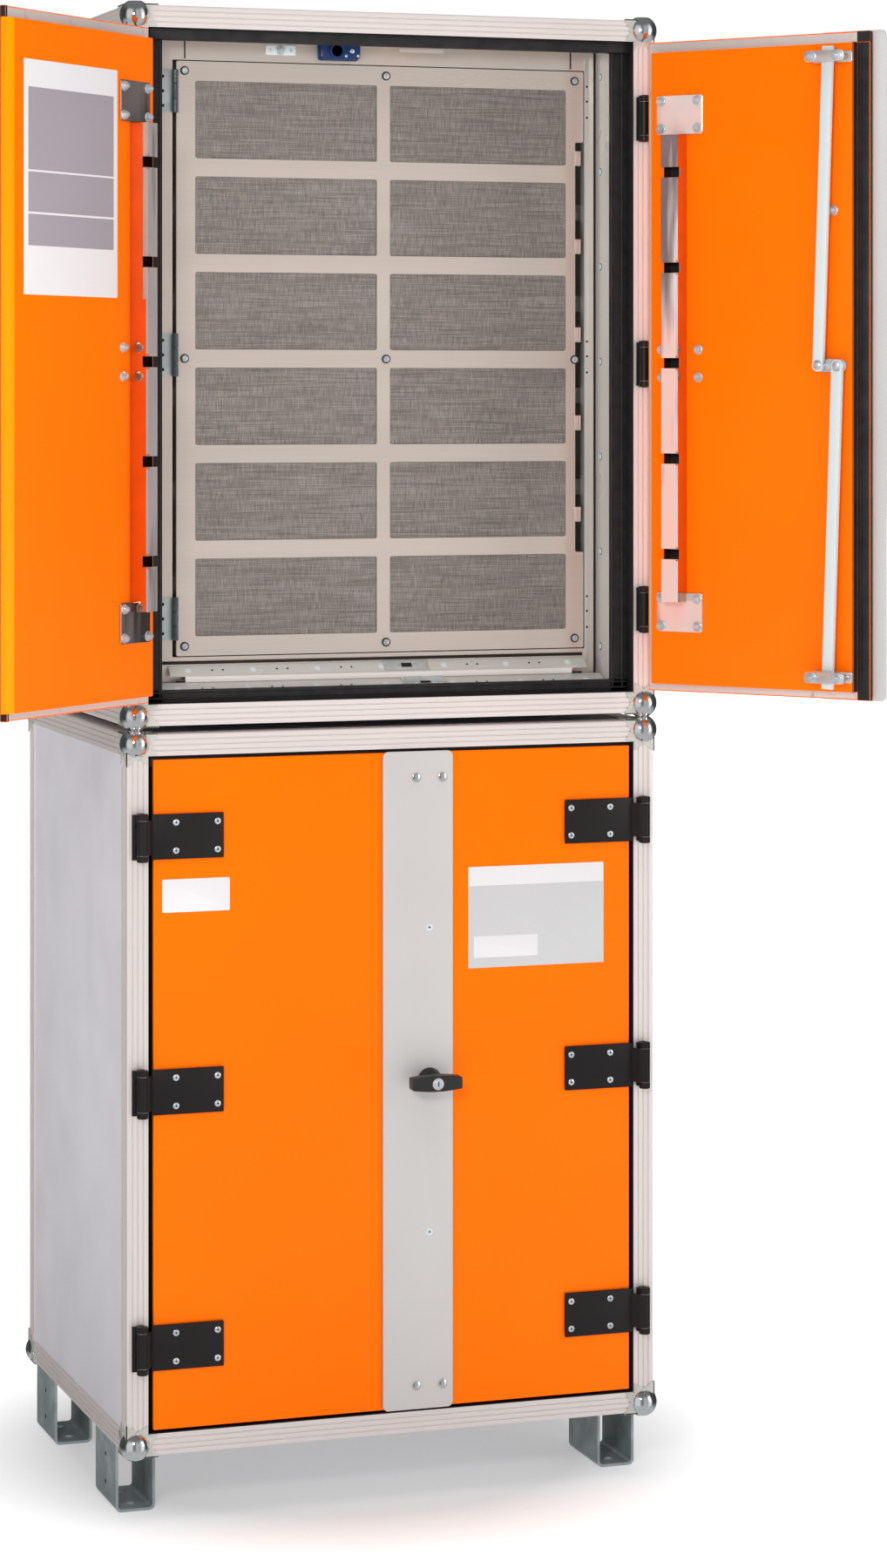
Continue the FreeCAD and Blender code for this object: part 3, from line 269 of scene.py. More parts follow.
def woven_wire(name):
    """Fine woven wire cloth: crossing waves of wire with gaps between them that light passes through."""
    shader = Shader(name, (0.25, 0.225, 0.205), 0.45, 0.3)
    inputs = {"Scale": 160, "Distortion": 0.7, "Detail": 2, "Detail Scale": 0.6, "Vector": shader.where()}
    waves = [shader.add("TexWave", "Fac", inputs, bands_direction=axis) for axis in "XZ"]
    wires = shader.calc("MAXIMUM", *waves)
    across, upright = shader.noise(950, 2, (0.015, 1, 1)), shader.noise(900, 2, (1, 1, 0.06))
    shader.tint(shader.calc("MULTIPLY", across, upright), 0.66, 1.36, 0.17, 0.34)
    shader.set(Alpha=shader.ramp(wires, 0.3, 1.0, 0.45, 0.8))
    shader.bump(wires, 0.4, 0.0006)
    return shader.material


# Warm grey rails: the pink cast is partly the aluminium's own tone and partly a painted reflection of the
# orange doors
RAIL_COLOUR = (0.79, 0.725, 0.70)
MATERIALS = {
    **{f"rail_{axis}": drawn_metal(f"rail_along_{axis}", RAIL_COLOUR, 0.38, axis, 0.5) for axis in "xyz"},
    "bracket": polished("corner_bracket_steel", (0.60, 0.60, 0.555), 0.36, 20, 0.04, 0.5),
    "ball": polished("ball_steel", (0.80, 0.82, 0.83), 0.08, 30, 0.02),
    "panel": sprayed("panel_laminate", (0.58, 0.56, 0.595), 0.42),
    "liner": sprayed("liner_sheet", (0.50, 0.50, 0.47), 0.3, 0.6),
    "orange": sprayed("door_orange", (1.0, 0.152, 0.0), 0.42, 0.06),
    # Painted light: a lighter copy of the door orange for the tongue's slope, as if it faced the light
    "orange_painted_lit": sprayed("door_orange_lit", (1.0, 0.29, 0.0), 0.4, 0.06),
    "margin": edge_sheet("door_edge_sheet"),
    "strip": sprayed("cover_strip_grey", (0.49, 0.475, 0.467), 0.38),
    "black": sprayed("black_coating", (0.010, 0.008, 0.008), 0.45, 0.25, (0.8, 1.3)),
    "rubber": rubber("seal_rubber"),
    "steel": drawn_metal("stainless_sheet", (0.76, 0.665, 0.59), 0.32, "x", 0.75),
    "post": drawn_metal("stainless_post", (0.72, 0.68, 0.65), 0.28, "z", 0.7),
    "mirror": polished("polished_sheet", (0.60, 0.54, 0.50), 0.12, 5, 0.2),
    # Painted reflection: three shades of one polished sheet, for plates that mirror more or less of the dark
    # room
    "plate_light": end_sheet("end_sheet_light", (0.20, 0.155, 0.16), (0.74, 0.67, 0.645)),
    "plate_grey": end_sheet("end_sheet_grey", (0.09, 0.08, 0.08), (0.42, 0.39, 0.39)),
    "plate_dark": end_sheet("end_sheet_dark", (0.035, 0.028, 0.028), (0.15, 0.135, 0.13)),
    # Painted reflection: steel side walls tinted orange for the orange doors they mirror
    "channel_side": polished("channel_side_painted_reflection", (0.74, 0.40, 0.28), 0.05, 5, 0.03),
    "bar": sprayed("rod_zinc", (0.56, 0.62, 0.625), 0.34, 0.6),
    "zinc": plated("zinc_plate", (0.52, 0.565, 0.57), 0.36, 9, 0.5),
    "knuckle": plated("knuckle_steel", (0.055, 0.08, 0.085), 0.34, 20, 0.4),
    # Painted sheen: the steel sill upstand is given a pale cream colour for the bright line it shows
    "lip": sprayed("lip_painted_sheen", (0.76, 0.735, 0.705), 0.35),
    "screw": plated("bright_zinc", (0.58, 0.63, 0.67), 0.3, 20, 0.6),
    "galvanised": plated("galvanised_steel", (0.33, 0.38, 0.385), 0.42, 12, 0.35),
    "grip": sprayed("handle_black", (0.014, 0.013, 0.013), 0.42, 0.5, (0.8, 1.4)),
    "blue": sprayed("socket_blue", (0.010, 0.032, 0.12), 0.42, 0.2),
    # Painted shade: a flat near-black that stands for the shade in holes, slots, recesses and gaps
    "dark": sprayed("dark_gap", (0.012, 0.009, 0.008), 0.8),
    "cloth": woven_wire("woven_wire"),
    "label": sprayed("blank_label", (0.66, 0.645, 0.655), 0.5, 0.3),
    "label_grey": sprayed("blank_label_field", (0.30, 0.27, 0.30), 0.6, 0.2),
    "label_pale": sprayed("blank_label_band", (0.50, 0.50, 0.505), 0.4),
    "shelf": plated("shelf_zinc", (0.50, 0.50, 0.50), 0.38, 25, 0.5),
}


# Mesh building

def add_object(name, data):
    thing = bpy.data.objects.new(name, data)
    bpy.context.collection.objects.link(thing)
    return thing


class Piece:
    """Parts in millimetres, joined into one object with a material for each part."""

    def __init__(self):
        self.mesh = bmesh.new()
        self.used = []

    def paint(self, faces, material):
        if material not in self.used:
            self.used.append(material)
        for face in faces:
            face.material_index = self.used.index(material)

    def bevel(self, edges, width, segments):
        bmesh.ops.bevel(self.mesh, geom=list(edges), offset=width, segments=segments, affect="EDGES",
                        profile=0.5, clamp_overlap=True)

    def pull(self, flat, lift, material):
        """Pull flat faces along a vector into a solid, and give back all its faces."""
        verts = {vert for face in flat for vert in face.verts}
        moved = bmesh.ops.extrude_face_region(self.mesh, geom=flat)["geom"]
        top = [item for item in moved if isinstance(item, bmesh.types.BMVert)]
        bmesh.ops.translate(self.mesh, verts=top, vec=Vector(lift))
        faces = {face for vert in [*verts, *top] if vert.is_valid for face in vert.link_faces}
        bmesh.ops.recalc_face_normals(self.mesh, faces=list(faces))
        self.paint(faces, material)
        return faces

    def outline(self, points, lift, material, bevel=0.0, steps=2):
        """A closed outline, given as corners, pulled along a vector."""
        flat = self.mesh.faces.new([self.mesh.verts.new(point) for point in points])
        faces = self.pull([flat], lift, material)
        if bevel:
            self.bevel({edge for face in faces for edge in face.edges}, bevel, steps)

    def box(self, x, y, z, material, bevel=0.4, steps=2):
        (x0, x1), (y0, y1), (z0, z1) = (sorted(span) for span in (x, y, z))
        corners = [(x0, y0, z0), (x1, y0, z0), (x1, y1, z0), (x0, y1, z0)]
        self.outline(corners, (0, 0, z1 - z0), material, bevel, steps)

    def plate(self, middle, wide, high, y, material, radius=2.0, bevel=0.3, sides=4):
        """A plate that faces the front, with round corners: middle is (x, z), y its front and back."""
        points = []
        for turn, (u, v) in enumerate(((1, 1), (-1, 1), (-1, -1), (1, -1))):
            for step in range(sides + 1):
                angle = math.radians(90 * (turn + step / sides))
                points.append((middle[0] + u * (wide / 2 - radius) + radius * math.cos(angle), y[0],
                               middle[1] + v * (high / 2 - radius) + radius * math.sin(angle)))
        self.outline(points, (0, y[1] - y[0], 0), material, bevel)

    def ring(self, centre, radius, across, other, sides):
        """The corners of a circle, or one point as often where the radius is nothing."""
        if radius < 1e-6:
            return [self.mesh.verts.new(centre)] * sides
        angles = [2 * math.pi * side / sides for side in range(sides)]
        spots = [centre + radius * (across * math.cos(angle) + other * math.sin(angle)) for angle in angles]
        return [self.mesh.verts.new(spot) for spot in spots]

    def lathe(self, start, axis, profile, material, sides=32):
        """A turned piece: profile is a list of (radius, distance along the axis)."""
        axis = Vector(axis).normalized()
        across = axis.orthogonal().normalized()
        other = axis.cross(across)
        start = Vector(start)
        rings = [self.ring(start + axis * far, radius, across, other, sides) for radius, far in profile]
        faces = []
        for below, above in zip(rings, rings[1:]):
            for side in range(sides):
                after = (side + 1) % sides
                corners = dict.fromkeys((below[side], above[side], above[after], below[after]))
                faces.append(self.mesh.faces.new(list(corners)))
        for ring in (rings[0], rings[-1]):
            if ring[0] != ring[1]:
                faces.append(self.mesh.faces.new(ring))
        bmesh.ops.recalc_face_normals(self.mesh, faces=faces)
        self.paint(faces, material)

    def rod(self, start, axis, radius, length, material, chamfer=0.5, sides=28):
        inner = radius - chamfer
        profile = [(inner, 0), (radius, chamfer), (radius, length - chamfer), (inner, length)]
        self.lathe(start, axis, profile, material, sides)

    def spot(self, place, axis, radius, rise, sides):
        """A dark disc, slightly dished, painted as the shade in a hole."""
        self.lathe(place, axis, [(radius, 0), (radius, rise), (0, rise - 0.05)], "dark", sides)

    def make(self, name, body, *nodes, place=None, smooth=35):
        """Turn the mesh into an object in metres that rides on a body and stands for CAD nodes."""
        if place is not None:
            self.mesh.transform(place)
        self.mesh.transform(Matrix.Scale(MM, 4))
        data = bpy.data.meshes.new(name)
        self.mesh.to_mesh(data)
        self.mesh.free()
        for key in self.used:
            data.materials.append(MATERIALS[key])
        data.shade_smooth()
        data.set_sharp_from_angle(angle=math.radians(smooth))
        thing = add_object(name, data)
        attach(thing, body)
        if nodes:
            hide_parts(*nodes)
        return thing


TO_BACK = (0, 1, 0)
TO_FRONT = (0, -1, 0)
UP = (0, 0, 1)
CORNERS = ((-1, -1), (1, -1), (1, 1), (-1, 1))


def hex_nut(piece, x, y, z, radius, height, turn, out=1):
    """A washer, a chamfered hexagon nut and the rounded end of its bolt, standing off a face along Y."""
    spot, axis, washer = (x, y, z), (0, out, 0), 1.5
    disc = [(radius * 1.22, 0), (radius * 1.22, washer - 0.2), (radius * 1.15, washer)]
    piece.lathe(spot, axis, disc, "screw")
    end, tip = washer + height, radius * 0.56
    for grow, low, high in ((1.0, washer, end - 0.8), (0.9, end - 0.8, end)):
        ring = []
        for corner in range(6):
            angle = turn + math.pi * corner / 3
            across, up = grow * radius * math.cos(angle), grow * radius * math.sin(angle)
            ring.append((x + across, y + out * low, z + up))
        piece.outline(ring, (0, out * (high - low), 0), "screw", 0.15, 1)
    bolt = [(tip, end - 0.5), (tip, end + 1.6), (tip * 0.8, end + 2.4), (0, end + 2.6)]
    piece.lathe(spot, axis, bolt, "screw", 20)


def flat_screw(piece, x, y, z, radius, material="screw", rise=1.2):
    """A low domed screw head that faces the front, with the shade in its cross recess painted as a dark
    cross.
    """
    dome = [(radius, 0), (radius, rise * 0.35), (radius * 0.86, rise * 0.8), (radius * 0.45, rise), (0, rise)]
    piece.lathe((x, y, z), TO_FRONT, dome, material, 28)
    face = y - (rise + 0.02)
    arm, half = radius * 0.42, radius * 0.11
    for dx, dz in ((arm, half), (half, arm)):
        points = [(x + sx * dx, face, z + sz * dz) for sx, sz in CORNERS]
        piece.outline(points, (0, -0.03, 0), "dark")


# Edge rails, corners, walls and feet

RIB_PLACES = (0.26, 0.51, 0.76)
RIB_HALF = 1.1
RIB_DEEP = 1.6


def others_than(axis):
    return [index for index in range(3) if index != axis]


def along(axis, length):
    """A vector along one axis."""
    return [length if index == axis else 0 for index in range(3)]


def rail_section():
    """One rail's outline, with both outer faces grooved: (u, v) from the box's edge inwards."""
    grooves = []
    for share in RIB_PLACES:
        for shift, deep in ((-1, 0), (-0.5, RIB_DEEP), (0.5, RIB_DEEP), (1, 0)):
            grooves.append((share * RAIL + RIB_HALF * shift, deep))
    radius = 2.5
    bend = []
    for step in range(5):
        angle = math.radians(22.5 * step)
        bend.append((radius - radius * math.sin(angle), radius - radius * math.cos(angle)))
    inner = RAIL - 0.5
    other_face = [(deep, far) for far, deep in grooves]
    return [(RAIL, 0), *reversed(grooves), *bend, *other_face, (0, RAIL), (inner, RAIL), (RAIL, inner)]


def edge_rail(piece, axis, signs, ends, section):
    """Extrude the section along an axis, at the edge that the other two signs name."""
    points = []
    for pair in section:
        point = along(axis, ends[0])
        for index, depth, sign in zip(others_than(axis), pair, signs):
            edge = BOX_LOW[index] if sign > 0 else BOX_HIGH[index]
            point[index] = edge + sign * (SKIN + depth * (RAIL - SKIN) / RAIL)
        points.append(point)
    piece.outline(points, along(axis, ends[1] - ends[0]), "rail_" + "xyz"[axis])


def make_rails(cabinet):
    section = rail_section()
    piece = Piece()
    for axis in range(3):
        ends = (BOX_LOW[axis] + 14, BOX_HIGH[axis] - 14)
        for signs in product((1, -1), repeat=2):
            edge_rail(piece, axis, signs, ends, section)
    piece.make(f"{cabinet}_rails", "frame", f"{cabinet}_edge_rails", place=lifted(cabinet), smooth=25)


BALL = 21.8
BALL_FLAT = 19.3
BALL_INSETS = (15, 10.5, 15)
LEG = 47
NOTCH = 10
CUT = 12
BRACKET = 2.2
PROUD = 0.8


def corner_outline():
    """One flat of a corner bracket: two legs with notched ends, from the box's corner inwards."""
    wide = RAIL - 0.8
    near, far = LEG - NOTCH, LEG
    leg = [
        (CUT, -PROUD), (far, -PROUD), (far - 1, wide * 0.06), (near, wide * 0.46), (near, wide * 0.56),
        (far - 3, wide * 0.94), (far - 2, wide),
    ]
    other = [(v, u) for u, v in reversed(leg)]
    return [other[-1], *leg, (wide, wide), *other[:-1]]


def rivet(piece, spot, axis, radius, material="bracket"):
    piece.lathe(spot, axis, [(radius, 0), (radius * 0.9, 0.6), (radius * 0.5, 1.1), (0, 1.3)], material, 18)


def inwards(corner, signs, flat, depths):
    """A spot on one face of a box corner, given by its two depths from the corner."""
    spot = list(corner)
    for index, depth in zip(others_than(flat), depths):
        spot[index] += signs[index] * depth
    return spot


def corner_flat(piece, corner, signs, flat):
    """One flat of the bracket, with a rivet on each leg."""
    face = list(corner)
    face[flat] -= signs[flat] * PROUD
    points = [inwards(face, signs, flat, pair) for pair in corner_outline()]
    piece.outline(points, along(flat, signs[flat] * BRACKET), "bracket", 0.35)
    depths = (LEG - NOTCH - 3.5, RAIL * 0.5)
    for pair in (depths, depths[::-1]):
        rivet(piece, inwards(face, signs, flat, pair), along(flat, -signs[flat]), 2.6)


def make_ball(piece, centre):
    """A ball with the small flats above and below on which the boxes stack."""
    half = math.acos(BALL_FLAT / BALL)
    dish = BALL * math.sin(half) * 0.8
    steps = 30
    profile = [(dish, -BALL_FLAT + 0.9)]
    for step in range(steps + 1):
        angle = half + (math.pi - 2 * half) * step / steps
        profile.append((BALL * math.sin(angle), -BALL * math.cos(angle)))
    piece.lathe(centre, UP, [*profile, (dish, BALL_FLAT - 0.9)], "ball", 56)


def make_corners(cabinet):
    piece = Piece()
    for signs in product((1, -1), repeat=3):
        corner = [BOX_LOW[i] if signs[i] > 0 else BOX_HIGH[i] for i in range(3)]
        for flat in range(3):
            corner_flat(piece, corner, signs, flat)
        make_ball(piece, [corner[i] + signs[i] * BALL_INSETS[i] for i in range(3)])
    return piece.make(f"{cabinet}_ball_corners", "frame", place=lifted(cabinet))


def dress_walls(cabinet):
    for node in ("side_panels", "back_panel", "roof_and_floor"):
        coat(f"{cabinet}_{node}", "panel")
    coat(f"{cabinet}_liner", "liner")
    coat(f"{cabinet}_shelves", "shelf")


def coat(node, material, bevel=0.0):
    """Give a CAD node its material, and soften its edges."""
    thing = frame["nodes"][node]
    for slot in thing.material_slots:
        slot.material = MATERIALS[material]
    if not thing.material_slots:
        thing.data.materials.append(MATERIALS[material])
    if bevel:
        soften = thing.modifiers.new("soft_edges", "BEVEL")
        soften.width = bevel * MM
        soften.segments = 2
        soften.limit_method = "ANGLE"
        soften.angle_limit = math.radians(40)


def make_seal(cabinet):
    """The black seal round the opening: flat bands with two raised beads."""
    low, high = node_box("lower_door_seal")
    piece = Piece()
    side_in = HALF - RAIL - 27
    sill = FLOOR + RAIL + 18
    head = TOP - RAIL - 16
    back = high.y
    front = PLUG_BACK + 1
    face = (FRONT + 1, front + 2)
    for side in (LEFT, RIGHT):
        piece.box(along_x(side, side_in, HALF - RAIL), (front, back), (low.z, high.z), "rubber", 0.8)
        piece.box(along_x(side, HALF - RAIL - 0.8, HALF - RAIL), face, (low.z, high.z), "rubber", 0.1)
        for x in (side_in + 4, side_in + 19):
            piece.rod((side * x, front + 1.6, low.z + 4), UP, 2.2, high.z - low.z - 8, "rubber")
    across = (-(HALF - RAIL), HALF - RAIL)
    for z in (low.z, high.z - 0.8):
        piece.box(across, face, (z, z + 0.8), "rubber", 0.1)
    piece.box(across, (front, back), (low.z, sill), "rubber", 0.8)
    piece.box(across, (LEAF_BACK + 1, back), (head, high.z), "rubber", 0.8)
    for y, z in ((front + 1.6, sill - 4), (front + 1.6, low.z + 6), (LEAF_BACK + 3.2, head + 4)):
        piece.rod((across[0] + 2, y, z), (1, 0, 0), 2.2, across[1] - across[0] - 4, "rubber")
    piece.make(f"{cabinet}_opening_seal", "frame", f"{cabinet}_door_seal", place=lifted(cabinet))


FOOT_HOLE_INSET, FOOT_HOLE_HEIGHTS = 60, (30, 70)


def make_feet():
    coat("feet", "galvanised", 0.5)
    piece = Piece()
    low, high = node_box("feet")
    # painted shade: dark rings stand for the holes in the feet's sides
    ring = [(3.4, 0), (3.4, 0.5), (2.7, 0.6), (0, 0.45)]
    for side in (LEFT, RIGHT):
        for y in (low.y + FOOT_HOLE_INSET, high.y - FOOT_HOLE_INSET):
            for z in FOOT_HOLE_HEIGHTS:
                piece.lathe((side * high.x - side * 0.3, y, z), (side, 0, 0), ring, "dark", 20)
    piece.make("foot_side_holes", "frame")


# Doors, drawn closed on the lower cabinet

def along_x(side, start, end):
    return sorted((side * start, side * end))


def make_leaf(door, side, place):
    """The outer leaf: an orange skin with a grey edge sheet showing behind it."""
    free = 0 if side == RIGHT else -LEFT_FREE
    outer = LEAF[1].x - 3.5
    piece = Piece()
    tall = (LEAF_LOW + 1.5, LEAF_HIGH - 1.5)
    piece.box(along_x(side, free, outer), (FRONT, LEAF_BACK - 0.8), tall, "orange", 1.0, 3)
    wide, tall = along_x(side, free + 1, outer - 2), (LEAF_LOW + 3, LEAF_HIGH - 3)
    piece.box(wide, (LEAF_BACK - 1.2, LEAF_BACK - 0.05), tall, "margin", 0.3)
    piece.make(f"{door}_leaf_skin", door, f"{door}_leaf", place=place)


def make_right_plug(piece):
    """The right inner panel, with the rubber that wraps its free edge and two beads on it."""
    free = PLUG[0].x
    low, high = LEAF_LOW + 1, LEAF_HIGH - 17
    wrap = -2.4
    piece.box((free, PLUG[1].x), (LEAF_BACK, PLUG_BACK), (PLUG_LOW, PLUG_HIGH), "orange", 1.0, 3)
    piece.box((wrap, free - 1.6), (LEAF_BACK, LEAF_BACK + 2), (low, high), "rubber", 0.6)
    piece.box((wrap, -0.1), (FRONT + 3.5, LEAF_BACK + 0.7), (low, high + 15), "rubber", 0.4)
    piece.box((free - 1.8, free - 0.1), (LEAF_BACK, PLUG_BACK - 0.4), (PLUG_LOW, high), "rubber", 0.4)
    for x, rise, radius in ((7, 1.6, 1.9), (13.2, 1.4, 1.5)):
        piece.rod((x, LEAF_BACK + rise, low + 1), UP, radius, high - low - 2, "rubber")
    piece.box((wrap, free - 1), (LEAF_BACK, LEAF_BACK + 0.8), (high - 1, high + 15.5), "rubber", 0.1, 1)


def make_left_plug(piece):
    """The left inner panel, with the sloping tongue on its free edge and the rubber over it."""
    tongue = node_box("lower_left_door_inner_panel")[1].x
    outer, ledge = -PLUG[1].x, LEAF_BACK + 3.8
    edge = (LEFT_FREE - 3, LEFT_FREE + 1.3)
    piece.box((outer, LEFT_FREE), (ledge, PLUG_BACK), (PLUG_LOW, PLUG_HIGH), "orange", 0.8, 3)
    slope = [
        (edge[0], PLUG_BACK - 0.2), (tongue - 1, PLUG_BACK - 6), (tongue, LEAF_BACK + 6), (tongue, ledge),
        (edge[0], ledge),
    ]
    # painted light: the slope takes the lighter copy of the orange
    piece.outline([(x, y, PLUG_LOW) for x, y in slope], (0, 0, PLUG_HIGH - PLUG_LOW), "orange_painted_lit", 0.4)
    base = (PLUG_LOW + 0.5, PLUG_HIGH - 0.5)
    piece.box((outer + 0.5, LEFT_FREE - 1), (LEAF_BACK, LEAF_BACK + 4.5), base, "orange", 0.3)
    piece.box(edge, (FRONT + 1.6, LEAF_BACK + 3.4), (LEAF_LOW + 1, PLUG_HIGH), "rubber", 0.8)
    piece.box(edge, (FRONT + 1.6, LEAF_BACK + 0.8), (PLUG_HIGH - 2, LEAF_HIGH - 1), "rubber", 0.4)


def make_plug(door, side, place):
    """The inner panel, with the rubber along the free edge."""
    piece = Piece()
    nodes = [f"{door}_inner_panel"]
    if side == RIGHT:
        make_right_plug(piece)
        nodes.append(f"{door}_edge_seal")
    else:
        make_left_plug(piece)
    piece.make(f"{door}_plug", door, *nodes, place=place)


BOLT_NEAR, BOLT_FAR, BOLT_RISE = 51, 112, 20
BOLTS = tuple(product((BOLT_NEAR, BOLT_FAR), (-BOLT_RISE, BOLT_RISE)))
PLATE = 5
BARREL = 8
BARREL_END = 9


def make_hinge_plates(door, side, place):
    """The long black leaves on the door: a plate, a bend and the middle barrel, with four screws each."""
    piece = Piece()
    x, y = HINGE_AXIS.x, HINGE_AXIS.y
    start, bend = HINGE_BOX[0].x, x - BARREL - 9
    face, back = FRONT - PLATE, FRONT - 0.2
    section = [
        (start, back), (start, face), (bend, face), (x - BARREL - 1, y - 4.6), (x, y - 5.4), (x, y + 1),
        (x - BARREL, y + 1), (bend + 4, back),
    ]
    tall = HINGE_HEIGHT - 2 * BARREL_END
    for middle in HINGE_MIDS:
        low, high = middle - HINGE_HEIGHT / 2, middle + HINGE_HEIGHT / 2
        points = [(side * across, deep, low + BARREL_END + 0.5) for across, deep in section]
        piece.outline(points, (0, 0, tall - 1), "black", 0.35)
        piece.box(along_x(side, start, bend + 1), (face - 0.1, back), (low + 2, high - 2), "black", 0.7)
        piece.rod((side * x, y, low + BARREL_END + 0.3), UP, BARREL - 0.2, tall - 0.6, "black", 0.8, 36)
        for near, rise in BOLTS:
            flat_screw(piece, side * (x - near), face, middle + rise, 4.6)
    piece.make(f"{door}_hinges", door, f"{door}_hinge_plates", place=place)


def frame_leaf(piece, side, low):
    """One black leaf on a rail: its end barrels, the joints beside them, the pin and two screws."""
    x, y, high = side * HINGE_AXIS.x, HINGE_AXIS.y, low + HINGE_HEIGHT
    wide = along_x(side, HINGE_AXIS.x - 8, HINGE_AXIS.x + 12)
    piece.box(wide, (FRONT - 2, FRONT + 0.9), (low + 2, high - 2), "black", 0.5)
    for start in (low, high - BARREL_END):
        piece.rod((x, y, start), UP, BARREL, BARREL_END, "black", 0.8, 36)
        piece.box((x - 5, x + 5), (y + 4, FRONT - 1.5), (start, start + BARREL_END), "black", 0.4)
    for start in (low + BARREL_END, high - BARREL_END - 0.3):
        piece.rod((x, y, start), UP, BARREL - 0.5, 0.3, "screw", 0.05, 36)
    piece.rod((x, y, low - 0.6), UP, 4, HINGE_HEIGHT + 1.2, "black", 0.8)
    for z in (low + 18, high - 18):
        flat_screw(piece, x + side * 8, FRONT - 2, z, 3, "black", 0.6)


def make_frame_leaves():
    piece = Piece()
    for lift, side, middle in product(LIFTS.values(), (LEFT, RIGHT), HINGE_MIDS):
        frame_leaf(piece, side, middle - HINGE_HEIGHT / 2 + lift)
    piece.make("rail_hinges", "frame", "frame_hinge_leaves")


CHANNEL_INSET, CHANNEL_WIDE, CHANNEL_DEEP, CHANNEL_SHEET = 65, 28, 28, 1.5
CHANNEL_ENDS = (FLOOR + 170, FLOOR + 846)
SLOTS = [FLOOR + 232 + 138 * index for index in range(5)]
SLOT_HIGH = 15


def make_channel(door, side, place):
    """The polished channel on the inner panel, with five slots and an end plate over and under it."""
    far = HINGE_AXIS.x - CHANNEL_INSET
    near = far - CHANNEL_WIDE
    face, sheet = PLUG_BACK + CHANNEL_DEEP, CHANNEL_SHEET
    turn, under = face - 8, face - CHANNEL_SHEET - 0.6
    left = side == LEFT
    piece = Piece()
    # The side walls are in the orange-tinted steel: a painted reflection of the doors
    for x in (near, far - sheet):
        piece.box(along_x(side, x, x + sheet), (PLUG_BACK, turn), CHANNEL_ENDS, "channel_side", 0.0)
    section = [
        (near, turn), (near, face - 1.5), (near + 1.5, face), (far - 1.5, face), (far, face - 1.5),
        (far, turn), (far - sheet, turn), (far - sheet, under), (near + sheet, under), (near + sheet, turn),
    ]
    starts = [CHANNEL_ENDS[0]] + [slot + SLOT_HIGH for slot in SLOTS]
    for start, end in zip(starts, [*SLOTS, CHANNEL_ENDS[1]]):
        for x in (near - 0.15, far - sheet + 0.15):
            wall = along_x(side, x, x + sheet)
            piece.box(wall, (turn - 0.2, face - 1.8), (start, end), "channel_side", 0.0)
        points = [(side * x, y, start) for x, y in section]
        # painted reflection: the left channel's face takes a darker shade of the sheet than the right one's
        piece.outline(points, (0, 0, end - start), "plate_grey" if left else "plate_light")
    for slot in SLOTS:
        # painted shade: a dark box inside the channel, seen through the slot
        inside = along_x(side, near + sheet, far - sheet)
        piece.box(inside, (PLUG_BACK + 0.1, PLUG_BACK + 1), (slot - 6, slot + 21), "dark", 0.0)
        tab = along_x(side, near, near + sheet)
        for low in (slot - 2.5, slot + SLOT_HIGH + 0.8):
            piece.box(tab, (turn, face + 2.5), (low, low + 1.7), "mirror", 0.2, 1)
    centre = side * (HINGE_AXIS.x - (BOLT_NEAR + BOLT_FAR) / 2)
    for middle in (HINGE_MIDS[0], HINGE_MIDS[2]):
        # painted reflection: the left door's end plates take the dark shade, the right door's the light one
        shade = "plate_dark" if left else "plate_light"
        piece.plate((centre, middle), 76, 57, (PLUG_BACK, PLUG_BACK + 2), shade, 2.5, 0.35)
    piece.make(f"{door}_slotted_channel", door, f"{door}_channel", place=place, smooth=20)


LOCK_NUTS = 220


def make_bolt_ends(door, side, place):
    """The nuts and bolt ends on the inside of a door."""
    piece = Piece()
    for face, middle in zip((PLUG_BACK + 2, PLUG_BACK, PLUG_BACK + 2), HINGE_MIDS):
        for near, rise in BOLTS:
            hex_nut(piece, side * (HINGE_AXIS.x - near), face, middle + rise, 5.8, 4.5, 0.4 + near + rise)
    if side == RIGHT:
        for z in (LOCK.z - LOCK_NUTS, LOCK.z + LOCK_NUTS):
            hex_nut(piece, LOCK.x, PLUG_BACK, z, 6.2, 4.5, 0.2)
            flat_screw(piece, LOCK.x, STRIP[0].y, z, 5.2, "bar", 0.8)
    piece.make(f"{door}_fasteners", door, f"{door}_bolts", place=place)


def make_strip(door, place):
    piece = Piece()
    piece.plate(*seen_from_front(STRIP), (STRIP[0].y, STRIP[1].y), "strip", 8, 0.7, 6)
    piece.make(f"{door}_strip", door, f"{door}_cover_strip", place=place)


STUDS = 20
GUIDE_HIGH, GUIDE_LOW = TOP - 74, FLOOR + 70


def make_guides(door, place):
    """The rod guides: base plate, two polished spacers, front bar and nuts, and the round heads outside."""
    piece = Piece()
    dome = [(7, 0), (7, 0.6), (6.2, 2.1), (4.2, 3.1), (0, 3.5)]
    for z in (GUIDE_HIGH, GUIDE_LOW):
        for start, end, radius in ((0, 3, 2.5), (24, 29, 5)):
            piece.plate((LOCK.x, z), 62, 15.5, (PLUG_BACK + start, PLUG_BACK + end), "post", radius)
        for x in (LOCK.x - STUDS, LOCK.x + STUDS):
            piece.rod((x, PLUG_BACK + 2.5, z), TO_BACK, 4.6, 22, "mirror", 0.2)
            hex_nut(piece, x, PLUG_BACK + 29, z, 6.4, 4.2, x)
            piece.lathe((x, STRIP[0].y, z), TO_FRONT, dome, "ball", 32)
    piece.make(f"{door}_guides", door, f"{door}_rod_guides", place=place)


# Lock

GRIP_FRONT = LOCK.y - 40.6
CAM_PINS = 15


